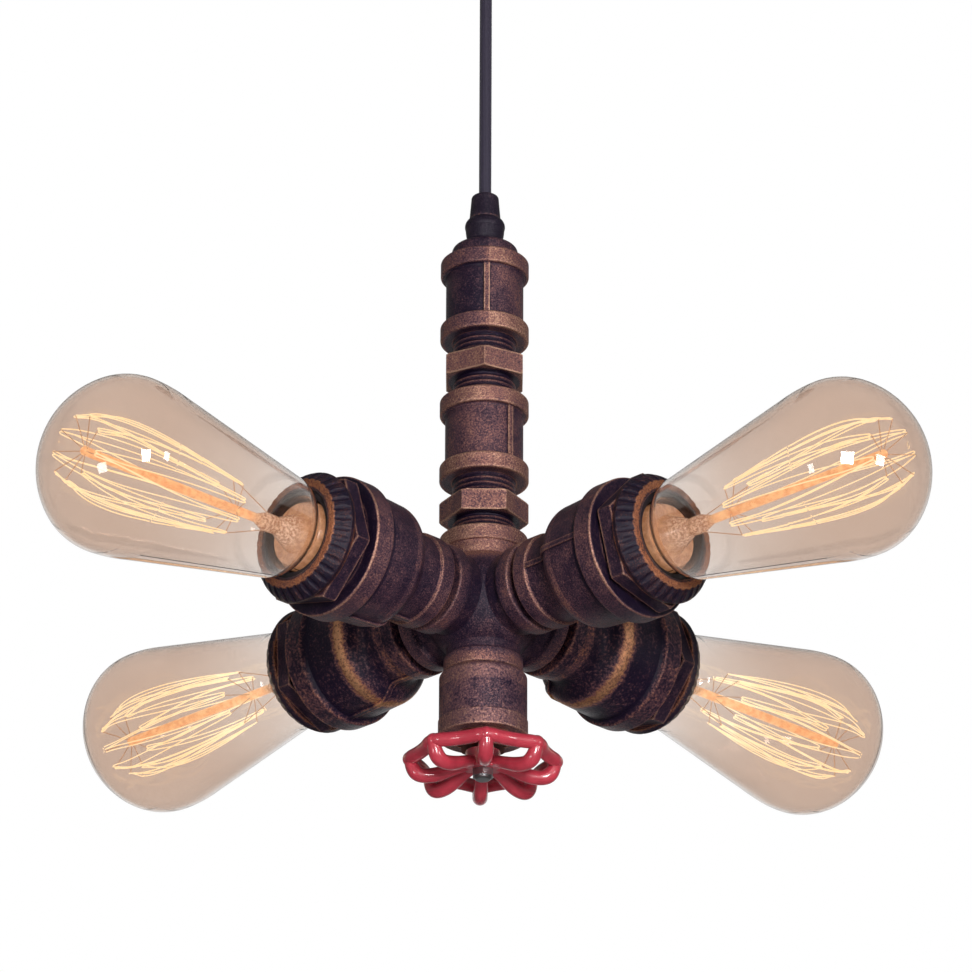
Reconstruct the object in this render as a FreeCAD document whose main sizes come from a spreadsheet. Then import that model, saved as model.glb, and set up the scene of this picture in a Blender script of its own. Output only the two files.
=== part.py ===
import FreeCAD, Part
import math
import os
import Sketcher

# Pipe pendant light. Origin on the ceiling, at the middle of the canopy's rim. +Z up, front is -Y.

doc = FreeCAD.newDocument("pipe_pendant_light")
sheet = doc.addObject("Spreadsheet::Sheet", "Sizes")
Vector = FreeCAD.Vector


class Term:
    """A length in millimetres together with the sheet expression that gives it."""

    def __init__(self, value, text):
        self.value = value
        self.text = text

    def __add__(self, other):
        return combine(self, "+", other, self.value + term(other).value)

    def __radd__(self, other):
        return term(other) + self

    def __sub__(self, other):
        return combine(self, "-", other, self.value - term(other).value)

    def __rsub__(self, other):
        return term(other) - self

    def __mul__(self, other):
        return combine(self, "*", other, self.value * term(other).value)

    def __rmul__(self, other):
        return term(other) * self

    def __truediv__(self, other):
        return combine(self, "/", other, self.value / term(other).value)

    def __neg__(self):
        return Term(-self.value, "(0 - %s)" % self.text)


def term(number):
    if isinstance(number, Term):
        return number
    return Term(float(number), repr(float(number)))


def combine(left, sign, right, value):
    return Term(value, "(%s %s %s)" % (left.text, sign, term(right).text))


def root(square):
    return Term(math.sqrt(square.value), "sqrt(%s)" % square.text)


def sine(angle):
    return Term(math.sin(math.radians(angle.value)), "sin(%s)" % angle.text)


def cosine(angle):
    return Term(math.cos(math.radians(angle.value)), "cos(%s)" % angle.text)


def tangent(angle):
    return Term(math.tan(math.radians(angle.value)), "tan(%s)" % angle.text)


rows = []


def size(alias, value, note):
    """Write one driving size into the sheet and give it back as a term."""
    rows.append(alias)
    row = len(rows)
    sheet.set("A%d" % row, alias)
    sheet.set("B%d" % row, repr(float(value)))
    sheet.set("C%d" % row, note)
    sheet.setAlias("B%d" % row, alias)
    return Term(float(value), "Sizes.%s" % alias)


# Ceiling fitting
canopy_radius = size("canopy_radius", 52, "outer radius of the canopy")
canopy_depth = size("canopy_depth", 28, "height of the canopy below the ceiling")
canopy_wall = size("canopy_wall", 1.2, "sheet thickness of the canopy")
canopy_corner = size("canopy_corner", 9, "outer corner radius of the canopy")
bracket_length = size("bracket_length", 92, "length of the mounting bracket")
bracket_width = size("bracket_width", 18, "width of the mounting bracket")
bracket_thickness = size("bracket_thickness", 2, "thickness of the mounting bracket")
ceiling_hole_spacing = size("ceiling_hole_spacing", 54, "distance between the two ceiling screw holes")
ceiling_hole_radius = size("ceiling_hole_radius", 2.3, "radius of a ceiling screw hole")
canopy_screw_spacing = size("canopy_screw_spacing", 78, "distance between the canopy screws")
canopy_screw_radius = size("canopy_screw_radius", 1.95, "radius of a canopy screw")
canopy_knob_radius = size("canopy_knob_radius", 4.2, "radius of a canopy screw's round head")
canopy_knob_height = size("canopy_knob_height", 4.6, "height of a canopy screw's round head")
screw_fit = size("screw_fit", 0.2, "radial clearance round a screw")
gland_thread = size("gland_thread", 6, "radius of the canopy gland's thread")
gland_flange = size("gland_flange", 9.5, "radius of the canopy gland's flange")
gland_flange_height = size("gland_flange_height", 3.5, "height of the canopy gland's flange")
gland_nose = size("gland_nose", 12, "length of the canopy gland's nose")
gland_nut_height = size("gland_nut_height", 4, "height of the canopy gland's nut")
block_length = size("block_length", 26, "length of the terminal block")
block_width = size("block_width", 16, "width of the terminal block")
block_height = size("block_height", 11, "height of the terminal block")

# Cord and cord grip
cord_diameter = size("cord_diameter", 4.7, "outer diameter of the cord")
cord_drop = size("cord_drop", 161, "from the ceiling to the top of the lower cord grip")
cord_entry = size("cord_entry", 4, "depth of a cord's end in its block")
cord_fit = size("cord_fit", 0.12, "radial clearance of the cord in a grip")
grip_cap_height = size("grip_cap_height", 10.1, "height of the cone cap")
grip_cap_radius = size("grip_cap_radius", 5.95, "radius of the cone cap at its foot")
grip_cap_top = size("grip_cap_top", 5.2, "radius of the cone cap below its rounded top")
grip_base_height = size("grip_base_height", 12, "height of the collar under the cap")
grip_base_radius = size("grip_base_radius", 7.35, "largest radius of the collar")
grip_base_foot = size("grip_base_foot", 6.6, "radius of the collar at its foot")
grip_thread = size("grip_thread", 5, "radius of the grip's thread in the plug")
grip_thread_length = size("grip_thread_length", 9, "length of the grip's thread")

# Threads of the fittings
thread_radius = size("thread_radius", 11.8, "outer radius of the pipe thread")
thread_fit = size("thread_fit", 0.1, "radial clearance of a thread in its bore")
thread_depth = size("thread_depth", 1.0, "depth of the visible thread form")
thread_show = size("thread_show", 8.1, "bare thread between a coupling and a hex")
cross_thread_show = size("cross_thread_show", 6.2, "bare thread between the lower hex and the cross")
thread_hold = size("thread_hold", 10.5, "thread screwed into a fitting")
nipple_bore = size("nipple_bore", 9.2, "bore radius of the nipples")
turns = size("turns", 4, "visible thread turns")

# Plug and couplings
plug_radius = size("plug_radius", 12.5, "radius of the round plug's head")
plug_height = size("plug_height", 6.5, "height of the round plug's head")
plug_round = size("plug_round", 2.2, "edge rounding of the plug's head")
coupling_length = size("coupling_length", 33.3, "length of a coupling")
band_radius = size("band_radius", 16.65, "radius of a coupling's end bands")
body_radius = size("body_radius", 14.6, "radius of a coupling between its bands")
band_height = size("band_height", 6.4, "height of an end band")
band_edge = size("band_edge", 0.8, "rounding of an end band's edges")
rib_width = size("rib_width", 2.2, "width of a casting rib")
rib_rise = size("rib_rise", 0.8, "height of a casting rib above the body")
upper_turn = size("upper_turn", 93, "turn of the upper coupling's ribs in degrees")
lower_turn = size("lower_turn", 130, "turn of the lower coupling's ribs in degrees")
hex_flats = size("hex_flats", 28.7, "width across the flats of a hex nipple")
hex_height = size("hex_height", 8.2, "height of a hex nipple's hexagon")
hex_bevel = size("hex_bevel", 0.7, "bevel of a hexagon's corners")

# Cross and its arms
cross_half_up = size("cross_half_up", 27, "from the arms' level to the cross' top or bottom end")
cross_half_out = size("cross_half_out", 28.6, "from the axis to the end of a side branch")
cross_radius = size("cross_radius", 15.2, "radius of the upper and side branches of the cross")
cross_band = size("cross_band", 16.35, "radius of the end band of the upper branch")
cross_foot_radius = size("cross_foot_radius", 13.7, "radius of the lower branch of the cross")
cross_foot_band = size("cross_foot_band", 14.6, "radius of the end band of the lower branch")
cross_side_band = size("cross_side_band", 17.0, "radius of the end bands of the side branches")
cross_ball = size("cross_ball", 22.2, "radius of the round middle of the cross")
cross_fillet = size("cross_fillet", 5.0, "fillet at the foot of a branch")
cross_fillet_top = size("cross_fillet_top", 16.8, "where a branch's fillet runs out into its tube")
cross_fillet_sweep = size("cross_fillet_sweep", 50, "how far round the fillet goes, in degrees")
socket_gap = size("socket_gap", 3.1, "bare thread between the cross and a reducing socket")
socket_length = size("socket_length", 47.6, "length of a reducing socket")
socket_small_band = size("socket_small_band", 17.4, "radius of the small end's band")
socket_neck = size("socket_neck", 16.4, "radius of the neck behind the small band")
socket_waist = size("socket_waist", 7.5, "length of the straight neck")
socket_shoulder = size("socket_shoulder", 23.2, "radius of the bell at its shoulder")
socket_bell = size("socket_bell", 24.1, "radius of the bell before the large band")
socket_large_band = size("socket_large_band", 26.2, "radius of the large end's band")
socket_large_height = size("socket_large_height", 8.4, "width of the large end's band")
socket_flare = size("socket_flare", 10, "length of the flare from the neck to the shoulder")
socket_hollow = size("socket_hollow", 0.42, "part of the flare that is hollow, the rest being round")
socket_bore = size("socket_bore", 20.9, "bore radius of the large end")
socket_bore_depth = size("socket_bore_depth", 23, "depth of the large bore")

# Lampholder
bush_gap = size("bush_gap", 2.1, "dark gap between the socket and the hex bush")
bush_flats = size("bush_flats", 43.8, "width across the flats of the hex bush")
bush_hex = size("bush_hex", 6.3, "length of the bush's hexagon")
bush_hold = size("bush_hold", 12, "length of the bush's thread in the socket")
barrel_radius = size("barrel_radius", 17.9, "outer radius of the lampholder's barrel")
barrel_fit = size("barrel_fit", 0.15, "clearance round the barrel")
barrel_wall = size("barrel_wall", 3.7, "wall of the barrel round the screw shell")
holder_flange = size("holder_flange", 19.6, "radius of the lampholder's flange")
holder_flange_length = size("holder_flange_length", 3, "length of the lampholder's flange")
holder_back = size("holder_back", 6, "length of the lampholder behind its flange")
ring_length = size("ring_length", 7.6, "length of the fluted clamp ring")
ring_radius = size("ring_radius", 24.2, "largest radius of the clamp ring")
ring_rear = size("ring_rear", 23.4, "radius of the clamp ring's rear edge")
ring_front = size("ring_front", 20.6, "radius of the clamp ring's front edge")
ring_mouth = size("ring_mouth", 16.6, "radius of the clamp ring's opening")
ring_lip = size("ring_lip", 1.6, "thickness of the ring's lip over the barrel")
flutes = size("flutes", 36, "number of flutes round the clamp ring")
flute_radius = size("flute_radius", 1.5, "radius of a flute")
flute_depth = size("flute_depth", 1.1, "depth of a flute")
shell_radius = size("shell_radius", 13.4, "inner radius of the screw shell")
shell_wall = size("shell_wall", 0.7, "wall of the screw shell")
contact_radius = size("contact_radius", 3.5, "radius of the centre contact")
contact_gap = size("contact_gap", 0.3, "gap between the lamp's tip and the centre contact")

# Lamp
lamp_length = size("lamp_length", 142, "whole length of a lamp")
cap_radius = size("cap_radius", 13.1, "radius of the lamp's screw cap")
cap_length = size("cap_length", 26.5, "length of the lamp's cap")
glass_radius = size("glass_radius", 32, "largest radius of the glass")
glass_wall = size("glass_wall", 0.9, "wall of the glass")
glass_tip = size("glass_tip", 27.5, "from the tip to the widest place")
glass_slope = size("glass_slope", 10.5, "angle of the glass between belly and neck, in degrees")
glass_belly = size("glass_belly", 60, "radius of the curve below the widest place")
glass_side = size("glass_side", 22, "radius of the curve above the widest place")
glass_tip_angle = size("glass_tip_angle", 32.4, "how far round the side curve goes, in degrees")
glass_shoulder = size("glass_shoulder", 10, "radius of the curve where the neck begins")
glass_shoulder_angle = size("glass_shoulder_angle", 55, "steepness of the shoulder, in degrees")
glass_shoulder_r = size("glass_shoulder_r", 19.3, "radius of the glass where its shoulder begins")
glass_neck_curve = size("glass_neck_curve", 3, "radius of the curve between shoulder and neck")
rod_radius = size("rod_radius", 1.7, "radius of the stem's long rod")
wire_radius = size("wire_radius", 0.26, "radius of the glowing wire")
hook_radius = size("hook_radius", 0.22, "radius of a support hook")
hook_slant = size("hook_slant", 5, "how far a hook's foot lies behind its tip")
pinch_radius = size("pinch_radius", 3.2, "radius of the stem's pinched neck")
sealed_fit = size("sealed_fit", 0.02, "parting left where the glass closes round a wire")
hairpins = size("hairpins", 9, "number of hooks at each end of the cage of wires")
cage_near = size("cage_near", 10.5, "radius of the cage of wires at the near hooks")
cage_bow = size("cage_bow", 15.8, "radius of the cage where its wires bow out")
cage_far = size("cage_far", 12, "radius of the cage at the far hooks")
cage_bow_share = size("cage_bow_share", 0.7, "how far along the cage its wires bow out")
cage_start = size("cage_start", 65, "from the lamp's tip contact to the near hooks")
cage_length = size("cage_length", 70, "distance between the near and the far hooks")

# Bottom coupling and handwheel
bottom_gap = size("bottom_gap", 0.3, "joint between the cross and the bottom coupling")
bottom_length = size("bottom_length", 24.8, "length of the bottom coupling")
bottom_radius = size("bottom_radius", 16.15, "radius of the bottom coupling")
bottom_band = size("bottom_band", 16.45, "radius of the bottom coupling's band")
bottom_shoulder = size("bottom_shoulder", 1.9, "rounding of the bottom coupling's top edge")
bush_head_flats = size("bush_head_flats", 15.6, "width across the flats of the gland bush")
bush_head_height = size("bush_head_height", 4.2, "height of the gland bush's hexagon")
spindle_radius = size("spindle_radius", 4, "radius of the wheel's spindle")
spindle_fit = size("spindle_fit", 0.06, "running clearance of the spindle")
spindle_seat = size("spindle_seat", 3, "radius of the spindle in the wheel's hub")
seat_fit = size("seat_fit", 0.03, "clearance of the spindle in the wheel's hub and in the nut")
collar_radius = size("collar_radius", 6.5, "radius of the spindle's collar")
collar_height = size("collar_height", 3, "height of the spindle's collar")
wheel_gap = size("wheel_gap", 1.0, "gap between the gland bush and the wheel's hub")
hub_radius = size("hub_radius", 6.4, "radius of the wheel's hub")
hub_height = size("hub_height", 7, "height of the wheel's hub")
spokes = size("spokes", 8, "number of spokes in the wheel")
rim_crest = size("rim_crest", 26.3, "rim centre line's radius at a spoke")
rim_valley = size("rim_valley", 24.0, "rim centre line's radius between two spokes")
rim_corner = size("rim_corner", 6, "rounding of the rim's corner at a spoke")
rim_thick = size("rim_thick", 2.6, "radius of the rim's section")
rim_drop = size("rim_drop", 3.2, "rim's centre below the top of the hub")
knuckle_radius = size("knuckle_radius", 2.9, "radius of the knuckle where a spoke meets the rim")
root_reach = size("root_reach", 5.2, "distance from the axis to a spoke's root in the hub")
root_drop = size("root_drop", 4.9, "spoke's root below the top of the hub")
root_thick = size("root_thick", 2.1, "radius of a spoke at its root")
arch_reach = size("arch_reach", 9.5, "distance from the axis to the thin of a spoke")
arch_drop = size("arch_drop", 6.3, "thin of a spoke below the top of the hub")
arch_thick = size("arch_thick", 2.3, "radius of a spoke at its thin")
sag_reach = size("sag_reach", 15, "distance from the axis to the middle of a spoke")
sag_drop = size("sag_drop", 8.4, "middle of a spoke below the top of the hub")
sag_thick = size("sag_thick", 2.6, "radius of a spoke at its middle")
elbow_inset = size("elbow_inset", 6.3, "spoke's elbow inside the rim's corner")
elbow_drop = size("elbow_drop", 9.5, "spoke's elbow below the top of the hub")
elbow_thick = size("elbow_thick", 2.7, "radius of a spoke at its elbow")
heel_inset = size("heel_inset", 3.3, "spoke's heel inside the rim's corner")
heel_drop = size("heel_drop", 9.1, "spoke's heel below the top of the hub")
heel_thick = size("heel_thick", 2.8, "radius of a spoke at its heel")
rise_inset = size("rise_inset", 0.9, "upright of a spoke inside the rim's corner")
rise_drop = size("rise_drop", 6.6, "upright of a spoke below the top of the hub")
rise_thick = size("rise_thick", 2.7, "radius of a spoke's upright")
spoke_end_below = size("spoke_end_below", 0.9, "spoke's end below the rim's centre")
spoke_end_thick = size("spoke_end_thick", 2.4, "radius of a spoke where it runs into the rim")
wheel_turn = size("wheel_turn", 2.5, "turn of the wheel from square to the front")
nut_radius = size("nut_radius", 4.2, "radius of the wheel nut over its corners")
nut_height = size("nut_height", 2.6, "height of the wheel nut")

# Wiring
lead_radius = size("lead_radius", 1.4, "radius of a lamp's lead")
lead_bend = size("lead_bend", 13, "bend of a lamp's lead into its arm")
lead_offset = size("lead_offset", 3.4, "distance of a lead from the axis in the splice block")
splice_radius = size("splice_radius", 7, "radius of the splice block")
splice_height = size("splice_height", 15, "height of the splice block")
splice_seat = size("splice_seat", 0.3, "clearance under the splice block")

# Heights down the light, worked out from the sizes above
bore = thread_radius + thread_fit
cord_radius = cord_diameter / 2
cord_bore = cord_radius + cord_fit
grip_top = -cord_drop
cap_foot = grip_top - grip_cap_height
plug_top = cap_foot - grip_base_height
upper_top = plug_top - plug_height
upper_foot = upper_top - coupling_length
upper_hex_foot = upper_foot - thread_show - hex_height
lower_top = upper_hex_foot - thread_show
lower_foot = lower_top - coupling_length
lower_hex_foot = lower_foot - thread_show - hex_height
cross_top = lower_hex_foot - cross_thread_show
arm_level = cross_top - cross_half_up
cross_foot = arm_level - cross_half_up
bottom_top = cross_foot - bottom_gap
bottom_foot = bottom_top - bottom_length

# Stations along an arm, from the vertical axis outwards
socket_start = cross_half_out + socket_gap
socket_end = socket_start + socket_length
hex_start = socket_end + bush_gap
hex_end = hex_start + bush_hex
ring_end = hex_end + ring_length
bush_start = socket_end - bush_hold
flange_start = bush_start - holder_flange_length
holder_start = flange_start - holder_back
barrel_end = ring_end - ring_lip - barrel_fit

ARMS = (("front_left", 225), ("front_right", 315), ("back_right", 45), ("back_left", 135))

finished = []


def keep(thing, label):
    """Give a finished sub-part its node name and list it for writing."""
    thing.Label = label
    finished.append(thing)
    return thing


def bind(thing, path, value):
    thing.setExpression(path, term(value).text)


def new_body(label):
    return doc.addObject("PartDesign::Body", label)


def new_sketch(body, role, lift=None):
    """A sketch on one of the body's own origin planes, lifted along the plane's normal."""
    plane = [item for item in body.Origin.OriginFeatures if item.Role == role][0]
    sketch = body.newObject("Sketcher::SketchObject", body.Label + "_sketch")
    sketch.AttachmentSupport = [(plane, "")]
    sketch.MapMode = "FlatFace"
    if lift is not None:
        sketch.AttachmentOffset = FreeCAD.Placement(Vector(0, 0, term(lift).value), FreeCAD.Rotation())
        bind(sketch, "AttachmentOffset.Base.z", lift)
    return sketch


def set_place(sketch, edge, end, point):
    """Fix one end of an edge at a point given by two terms."""
    for kind, axis, value in (("DistanceX", -2, term(point[0])), ("DistanceY", -1, term(point[1]))):
        if value.text == "0.0":
            sketch.addConstraint(Sketcher.Constraint("PointOnObject", edge, end, axis))
        else:
            index = sketch.addConstraint(Sketcher.Constraint(kind, -1, 1, edge, end, value.value))
            sketch.setExpression("Constraints[%d]" % index, value.text)


def arc_between(start, end, radius):
    """The arc from start to end with its centre on the left, or on the right if radius is negative."""
    chord = end - start
    across = Vector(-chord.y, chord.x, 0).normalize()
    reach = math.sqrt(max(radius * radius - chord.Length * chord.Length / 4, 0))
    side = 1 if radius > 0 else -1
    centre = (start + end) * 0.5 + across * (side * reach)
    first, last = (start, end) if side > 0 else (end, start)
    angles = [math.atan2(point.y - centre.y, point.x - centre.x) for point in (first, last)]
    if angles[1] < angles[0]:
        angles[1] += 2 * math.pi
    circle = Part.Circle(centre, Vector(0, 0, 1), abs(radius))
    return Part.ArcOfCircle(circle, angles[0], angles[1])


def outline(sketch, points):
    """Draw a closed outline. A point is (x, y), or (x, y, radius) where an arc leaves it."""
    places = [Vector(term(point[0]).value, term(point[1]).value, 0) for point in points]
    ends = []
    for index, point in enumerate(points):
        start, end = places[index], places[(index + 1) % len(points)]
        if len(point) == 3:
            radius = term(point[2])
            edge = sketch.addGeometry(arc_between(start, end, radius.value), False)
            number = sketch.addConstraint(Sketcher.Constraint("Radius", edge, abs(radius.value)))
            sketch.setExpression("Constraints[%d]" % number, "abs(%s)" % radius.text)
            ends.append((edge, 1, 2) if radius.value > 0 else (edge, 2, 1))
        else:
            edge = sketch.addGeometry(Part.LineSegment(start, end), False)
            ends.append((edge, 1, 2))
    for index, (edge, first, last) in enumerate(ends):
        after = ends[(index + 1) % len(ends)]
        sketch.addConstraint(Sketcher.Constraint("Coincident", edge, last, after[0], after[1]))
        set_place(sketch, edge, first, points[index])
    return sketch


def circle(sketch, x, y, radius):
    middle = Vector(term(x).value, term(y).value, 0)
    edge = sketch.addGeometry(Part.Circle(middle, Vector(0, 0, 1), term(radius).value), False)
    number = sketch.addConstraint(Sketcher.Constraint("Radius", edge, term(radius).value))
    sketch.setExpression("Constraints[%d]" % number, term(radius).text)
    set_place(sketch, edge, 3, (x, y))


def revolve(body, points, kind="Revolution"):
    """Turn an outline of (radius, height) points about the body's own Z axis."""
    sketch = outline(new_sketch(body, "XZ_Plane"), points)
    feature = body.newObject("PartDesign::" + kind, body.Label + "_turned")
    feature.Profile = sketch
    feature.ReferenceAxis = (sketch, ["V_Axis"])
    feature.Angle = 360
    return feature


def pad(body, sketch, length, midplane=False):
    feature = body.newObject("PartDesign::Pad", body.Label + "_pad")
    feature.Profile = sketch
    feature.Length = term(length).value
    bind(feature, "Length", length)
    feature.Midplane = midplane
    return feature


def around(body, feature, sketch, axis, count):
    """Repeat a feature evenly round the body's Z axis."""
    pattern = body.newObject("PartDesign::PolarPattern", body.Label + "_pattern")
    pattern.Originals = [feature]
    pattern.Axis = (sketch, [axis])
    pattern.Angle = 360
    pattern.Occurrences = int(round(term(count).value))
    bind(pattern, "Occurrences", count)
    body.Tip = pattern
    return pattern


def hexagon(body, flats, low, height):
    """Pad a hexagon with two corners on the Y axis."""
    half = flats / 2
    side = flats / term(3 ** 0.5) / 2
    corners = [(half, -side), (half, side), (0, side * 2), (-half, side), (-half, -side), (0, side * -2)]
    return pad(body, outline(new_sketch(body, "XY_Plane", low), corners), height)


def bevel_hexagon(body, flats, low, height):
    """Take the corners off both ends of a hexagon, as a turned chamfer does."""
    corner = flats / term(3 ** 0.5)
    wide = corner + 1
    for face, inward in ((low, 1), (low + height, -1)):
        slope_end = face + (wide - corner + hex_bevel) / 2 * inward
        points = [(corner - hex_bevel, face), (wide, face), (wide, slope_end)]
        if inward > 0:
            points.reverse()
        revolve(body, points, "Groove")


def place(body, height, turn=0):
    """Put a body on the vertical axis at a height, turned by some degrees."""
    angle = term(turn)
    turned = FreeCAD.Rotation(angle.value, 0, 0)
    body.Placement = FreeCAD.Placement(Vector(0, 0, term(height).value), turned)
    if angle.text.startswith("Sizes."):
        bind(body, "Placement.Rotation.Angle", angle)
    bind(body, "Placement.Base.z", height)


def place_on_arm(body, azimuth, turn=0):
    """Lay a body along an arm: its own Z axis points outwards and its X axis down."""
    about_axis = FreeCAD.Rotation(Vector(0, 0, 1), turn)
    outwards = FreeCAD.Rotation(Vector(0, 1, 0), 90)
    to_azimuth = FreeCAD.Rotation(Vector(0, 0, 1), azimuth)
    turned = to_azimuth.multiply(outwards).multiply(about_axis)
    body.Placement = FreeCAD.Placement(Vector(0, 0, arm_level.value), turned)
    bind(body, "Placement.Base.z", arm_level)


def compound(label, pieces):
    group = doc.addObject("Part::Compound", label)
    group.Links = pieces
    return keep(group, label)


def thread_points(low, length, outer):
    """Outline points of a bare thread from low to low + length, going up."""
    count = int(turns.value)
    pitch = length / turns
    points = []
    for number in range(count):
        points.append((outer, low + pitch * number))
        points.append((outer - thread_depth, low + pitch * (number + 0.5)))
    return points


def make_canopy():
    body = new_body("canopy")
    inner = canopy_radius - canopy_wall
    corner = canopy_corner - canopy_wall
    revolve(body, [
        (gland_thread + screw_fit, -canopy_depth),
        (canopy_radius - canopy_corner, -canopy_depth, canopy_corner),
        (canopy_radius, canopy_corner - canopy_depth),
        (canopy_radius, 0),
        (inner, 0),
        (inner, canopy_corner - canopy_depth, -corner),
        (canopy_radius - canopy_corner, canopy_wall - canopy_depth),
        (gland_thread + screw_fit, canopy_wall - canopy_depth),
    ])
    sketch = new_sketch(body, "XY_Plane", -canopy_depth)
    for side in (-1, 1):
        circle(sketch, canopy_screw_spacing / 2 * side, 0, canopy_screw_radius + screw_fit)
    doc.recompute()
    holes = body.newObject("PartDesign::Pocket", "canopy_screw_holes")
    holes.Profile = sketch
    holes.Length = canopy_wall.value * 2
    bind(holes, "Length", canopy_wall * 2)
    holes.Reversed = True
    return keep(body, "canopy")


def make_bracket():
    body = new_body("mounting_bracket")
    long, wide = bracket_length / 2, bracket_width / 2
    sketch = new_sketch(body, "XY_Plane", -bracket_thickness)
    outline(sketch, [(-long, -wide), (long, -wide), (long, wide), (-long, wide)])
    for side in (-1, 1):
        circle(sketch, ceiling_hole_spacing / 2 * side, 0, ceiling_hole_radius)
        circle(sketch, canopy_screw_spacing / 2 * side, 0, canopy_screw_radius + screw_fit)
    pad(body, sketch, bracket_thickness)
    return keep(body, "mounting_bracket")


def make_canopy_screws():
    screws = []
    foot = -canopy_depth - canopy_knob_height
    for side in (-1, 1):
        body = new_body("canopy_screw")
        revolve(body, [
            (0, foot),
            (canopy_knob_radius - 2, foot, 2),
            (canopy_knob_radius, foot + 2),
            (canopy_knob_radius, -canopy_depth),
            (canopy_screw_radius, -canopy_depth),
            (canopy_screw_radius, -0.4),
            (0, -0.4),
        ])
        place(body, 0)
        body.Placement.Base.x = side * canopy_screw_spacing.value / 2
        bind(body, "Placement.Base.x", canopy_screw_spacing / 2 * side)
        screws.append(body)
    return compound("canopy_screws", screws)


def make_canopy_gland():
    nose_foot = -canopy_depth - gland_flange_height - gland_nose
    gland = new_body("canopy_gland")
    revolve(gland, [
        (cord_bore, nose_foot),
        (cord_bore + 1.4, nose_foot, 1.2),
        (cord_bore + 2.6, nose_foot + 1.2),
        (gland_thread + 0.6, -canopy_depth - gland_flange_height),
        (gland_flange - 1, -canopy_depth - gland_flange_height, 1),
        (gland_flange, 1 - canopy_depth - gland_flange_height),
        (gland_flange, -canopy_depth),
        (gland_thread, -canopy_depth),
        (gland_thread, canopy_wall - canopy_depth + gland_nut_height + 1),
        (cord_bore, canopy_wall - canopy_depth + gland_nut_height + 1),
    ])
    keep(gland, "canopy_gland")
    nut = new_body("canopy_gland_nut")
    hexagon(nut, gland_flange * 2 - 1, canopy_wall - canopy_depth, gland_nut_height)
    hole = new_sketch(nut, "XY_Plane", canopy_wall - canopy_depth)
    circle(hole, 0, 0, gland_thread + thread_fit)
    doc.recompute()
    pocket = nut.newObject("PartDesign::Pocket", "nut_bore")
    pocket.Profile = hole
    pocket.Length = gland_nut_height.value * 2
    bind(pocket, "Length", gland_nut_height * 2)
    pocket.Reversed = True
    keep(nut, "canopy_gland_nut")


def make_terminal_block():
    body = new_body("terminal_block")
    long, wide = block_length / 2, block_width / 2
    low = -bracket_thickness - block_height
    corners = [(-long, -wide), (long, -wide), (long, wide), (-long, wide)]
    sketch = outline(new_sketch(body, "XY_Plane", low), corners)
    pad(body, sketch, block_height)
    hole = new_sketch(body, "XY_Plane", low)
    circle(hole, 0, 0, cord_bore)
    doc.recompute()
    pocket = body.newObject("PartDesign::Pocket", "cord_entry")
    pocket.Profile = hole
    pocket.Length = cord_entry.value
    bind(pocket, "Length", cord_entry)
    pocket.Reversed = True
    return keep(body, "terminal_block")


def make_rod(label, radius, low, high):
    rod = doc.addObject("Part::Cylinder", label)
    bind(rod, "Radius", radius)
    bind(rod, "Height", high - low)
    bind(rod, "Placement.Base.z", low)
    return keep(rod, label)


def make_cord():
    """The free stretch with its two hidden ends, and the cable that goes on inside the fittings."""
    high = -bracket_thickness - block_height + cord_entry
    meet = cap_foot - grip_base_height / 2
    cord = make_rod("pendant_cord", cord_radius, meet, high)
    splice_top = splice_foot + splice_height
    make_rod("inner_cable", cord_radius, splice_top - cord_entry, meet)
    doc.recompute()
    length = (high - meet).value
    plain = math.pi * cord_radius.value ** 2 * length
    ratio = cord.Shape.Volume / plain
    print("pendant cord: straight, length %.1f mm, volume ratio %.4f" % (length, ratio))


def make_cord_grip():
    cap = new_body("cord_grip_cap")
    step = grip_cap_top - cord_bore - 1.2
    revolve(cap, [
        (cord_bore, cap_foot),
        (grip_cap_radius, cap_foot),
        (grip_cap_top, grip_top - 1.2, 1.2),
        (cord_bore + step, grip_top),
        (cord_bore, grip_top),
    ])
    keep(cap, "cord_grip_cap")
    base = new_body("cord_grip_base")
    waist = cap_foot - grip_base_height * 0.35
    revolve(base, [
        (cord_bore, plug_top - grip_thread_length),
        (grip_thread, plug_top - grip_thread_length),
        (grip_thread, plug_top),
        (grip_base_foot, plug_top),
        (grip_base_foot, plug_top + grip_base_height * 0.25, 22),
        (grip_base_radius, waist, 3.4),
        (grip_cap_radius, cap_foot),
        (cord_bore, cap_foot),
    ])
    keep(base, "cord_grip_base")


def make_plug():
    body = new_body("top_plug")
    revolve(body, [
        (grip_thread + thread_fit, upper_top - thread_hold),
        (thread_radius, upper_top - thread_hold),
        (thread_radius, upper_top),
        (plug_radius, upper_top),
        (plug_radius, plug_top - plug_round, plug_round),
        (plug_radius - plug_round, plug_top),
        (grip_thread + thread_fit, plug_top),
    ])
    return keep(body, "top_plug")


def make_coupling(label, foot, turn):
    """A banded coupling with a casting rib on two opposite sides."""
    body = new_body(label)
    edge = band_edge
    fillet = band_edge
    high_band = coupling_length - band_height
    revolve(body, [
        (bore, 0),
        (band_radius - edge, 0, edge),
        (band_radius, edge),
        (band_radius, band_height - edge, edge),
        (band_radius - edge, band_height),
        (body_radius + fillet, band_height, -fillet),
        (body_radius, band_height + fillet),
        (body_radius, high_band - fillet, -fillet),
        (body_radius + fillet, high_band),
        (band_radius - edge, high_band, edge),
        (band_radius, high_band + edge),
        (band_radius, coupling_length - edge, edge),
        (band_radius - edge, coupling_length),
        (bore, coupling_length),
    ])
    sketch = outline(new_sketch(body, "XZ_Plane"), [
        (body_radius - 1, band_height - 1),
        (body_radius + rib_rise, band_height - 1),
        (body_radius + rib_rise, high_band + 1),
        (body_radius - 1, high_band + 1),
    ])
    rib = pad(body, sketch, rib_width, midplane=True)
    around(body, rib, sketch, "V_Axis", 2)
    place(body, foot, turn)
    return keep(body, label)


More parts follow.
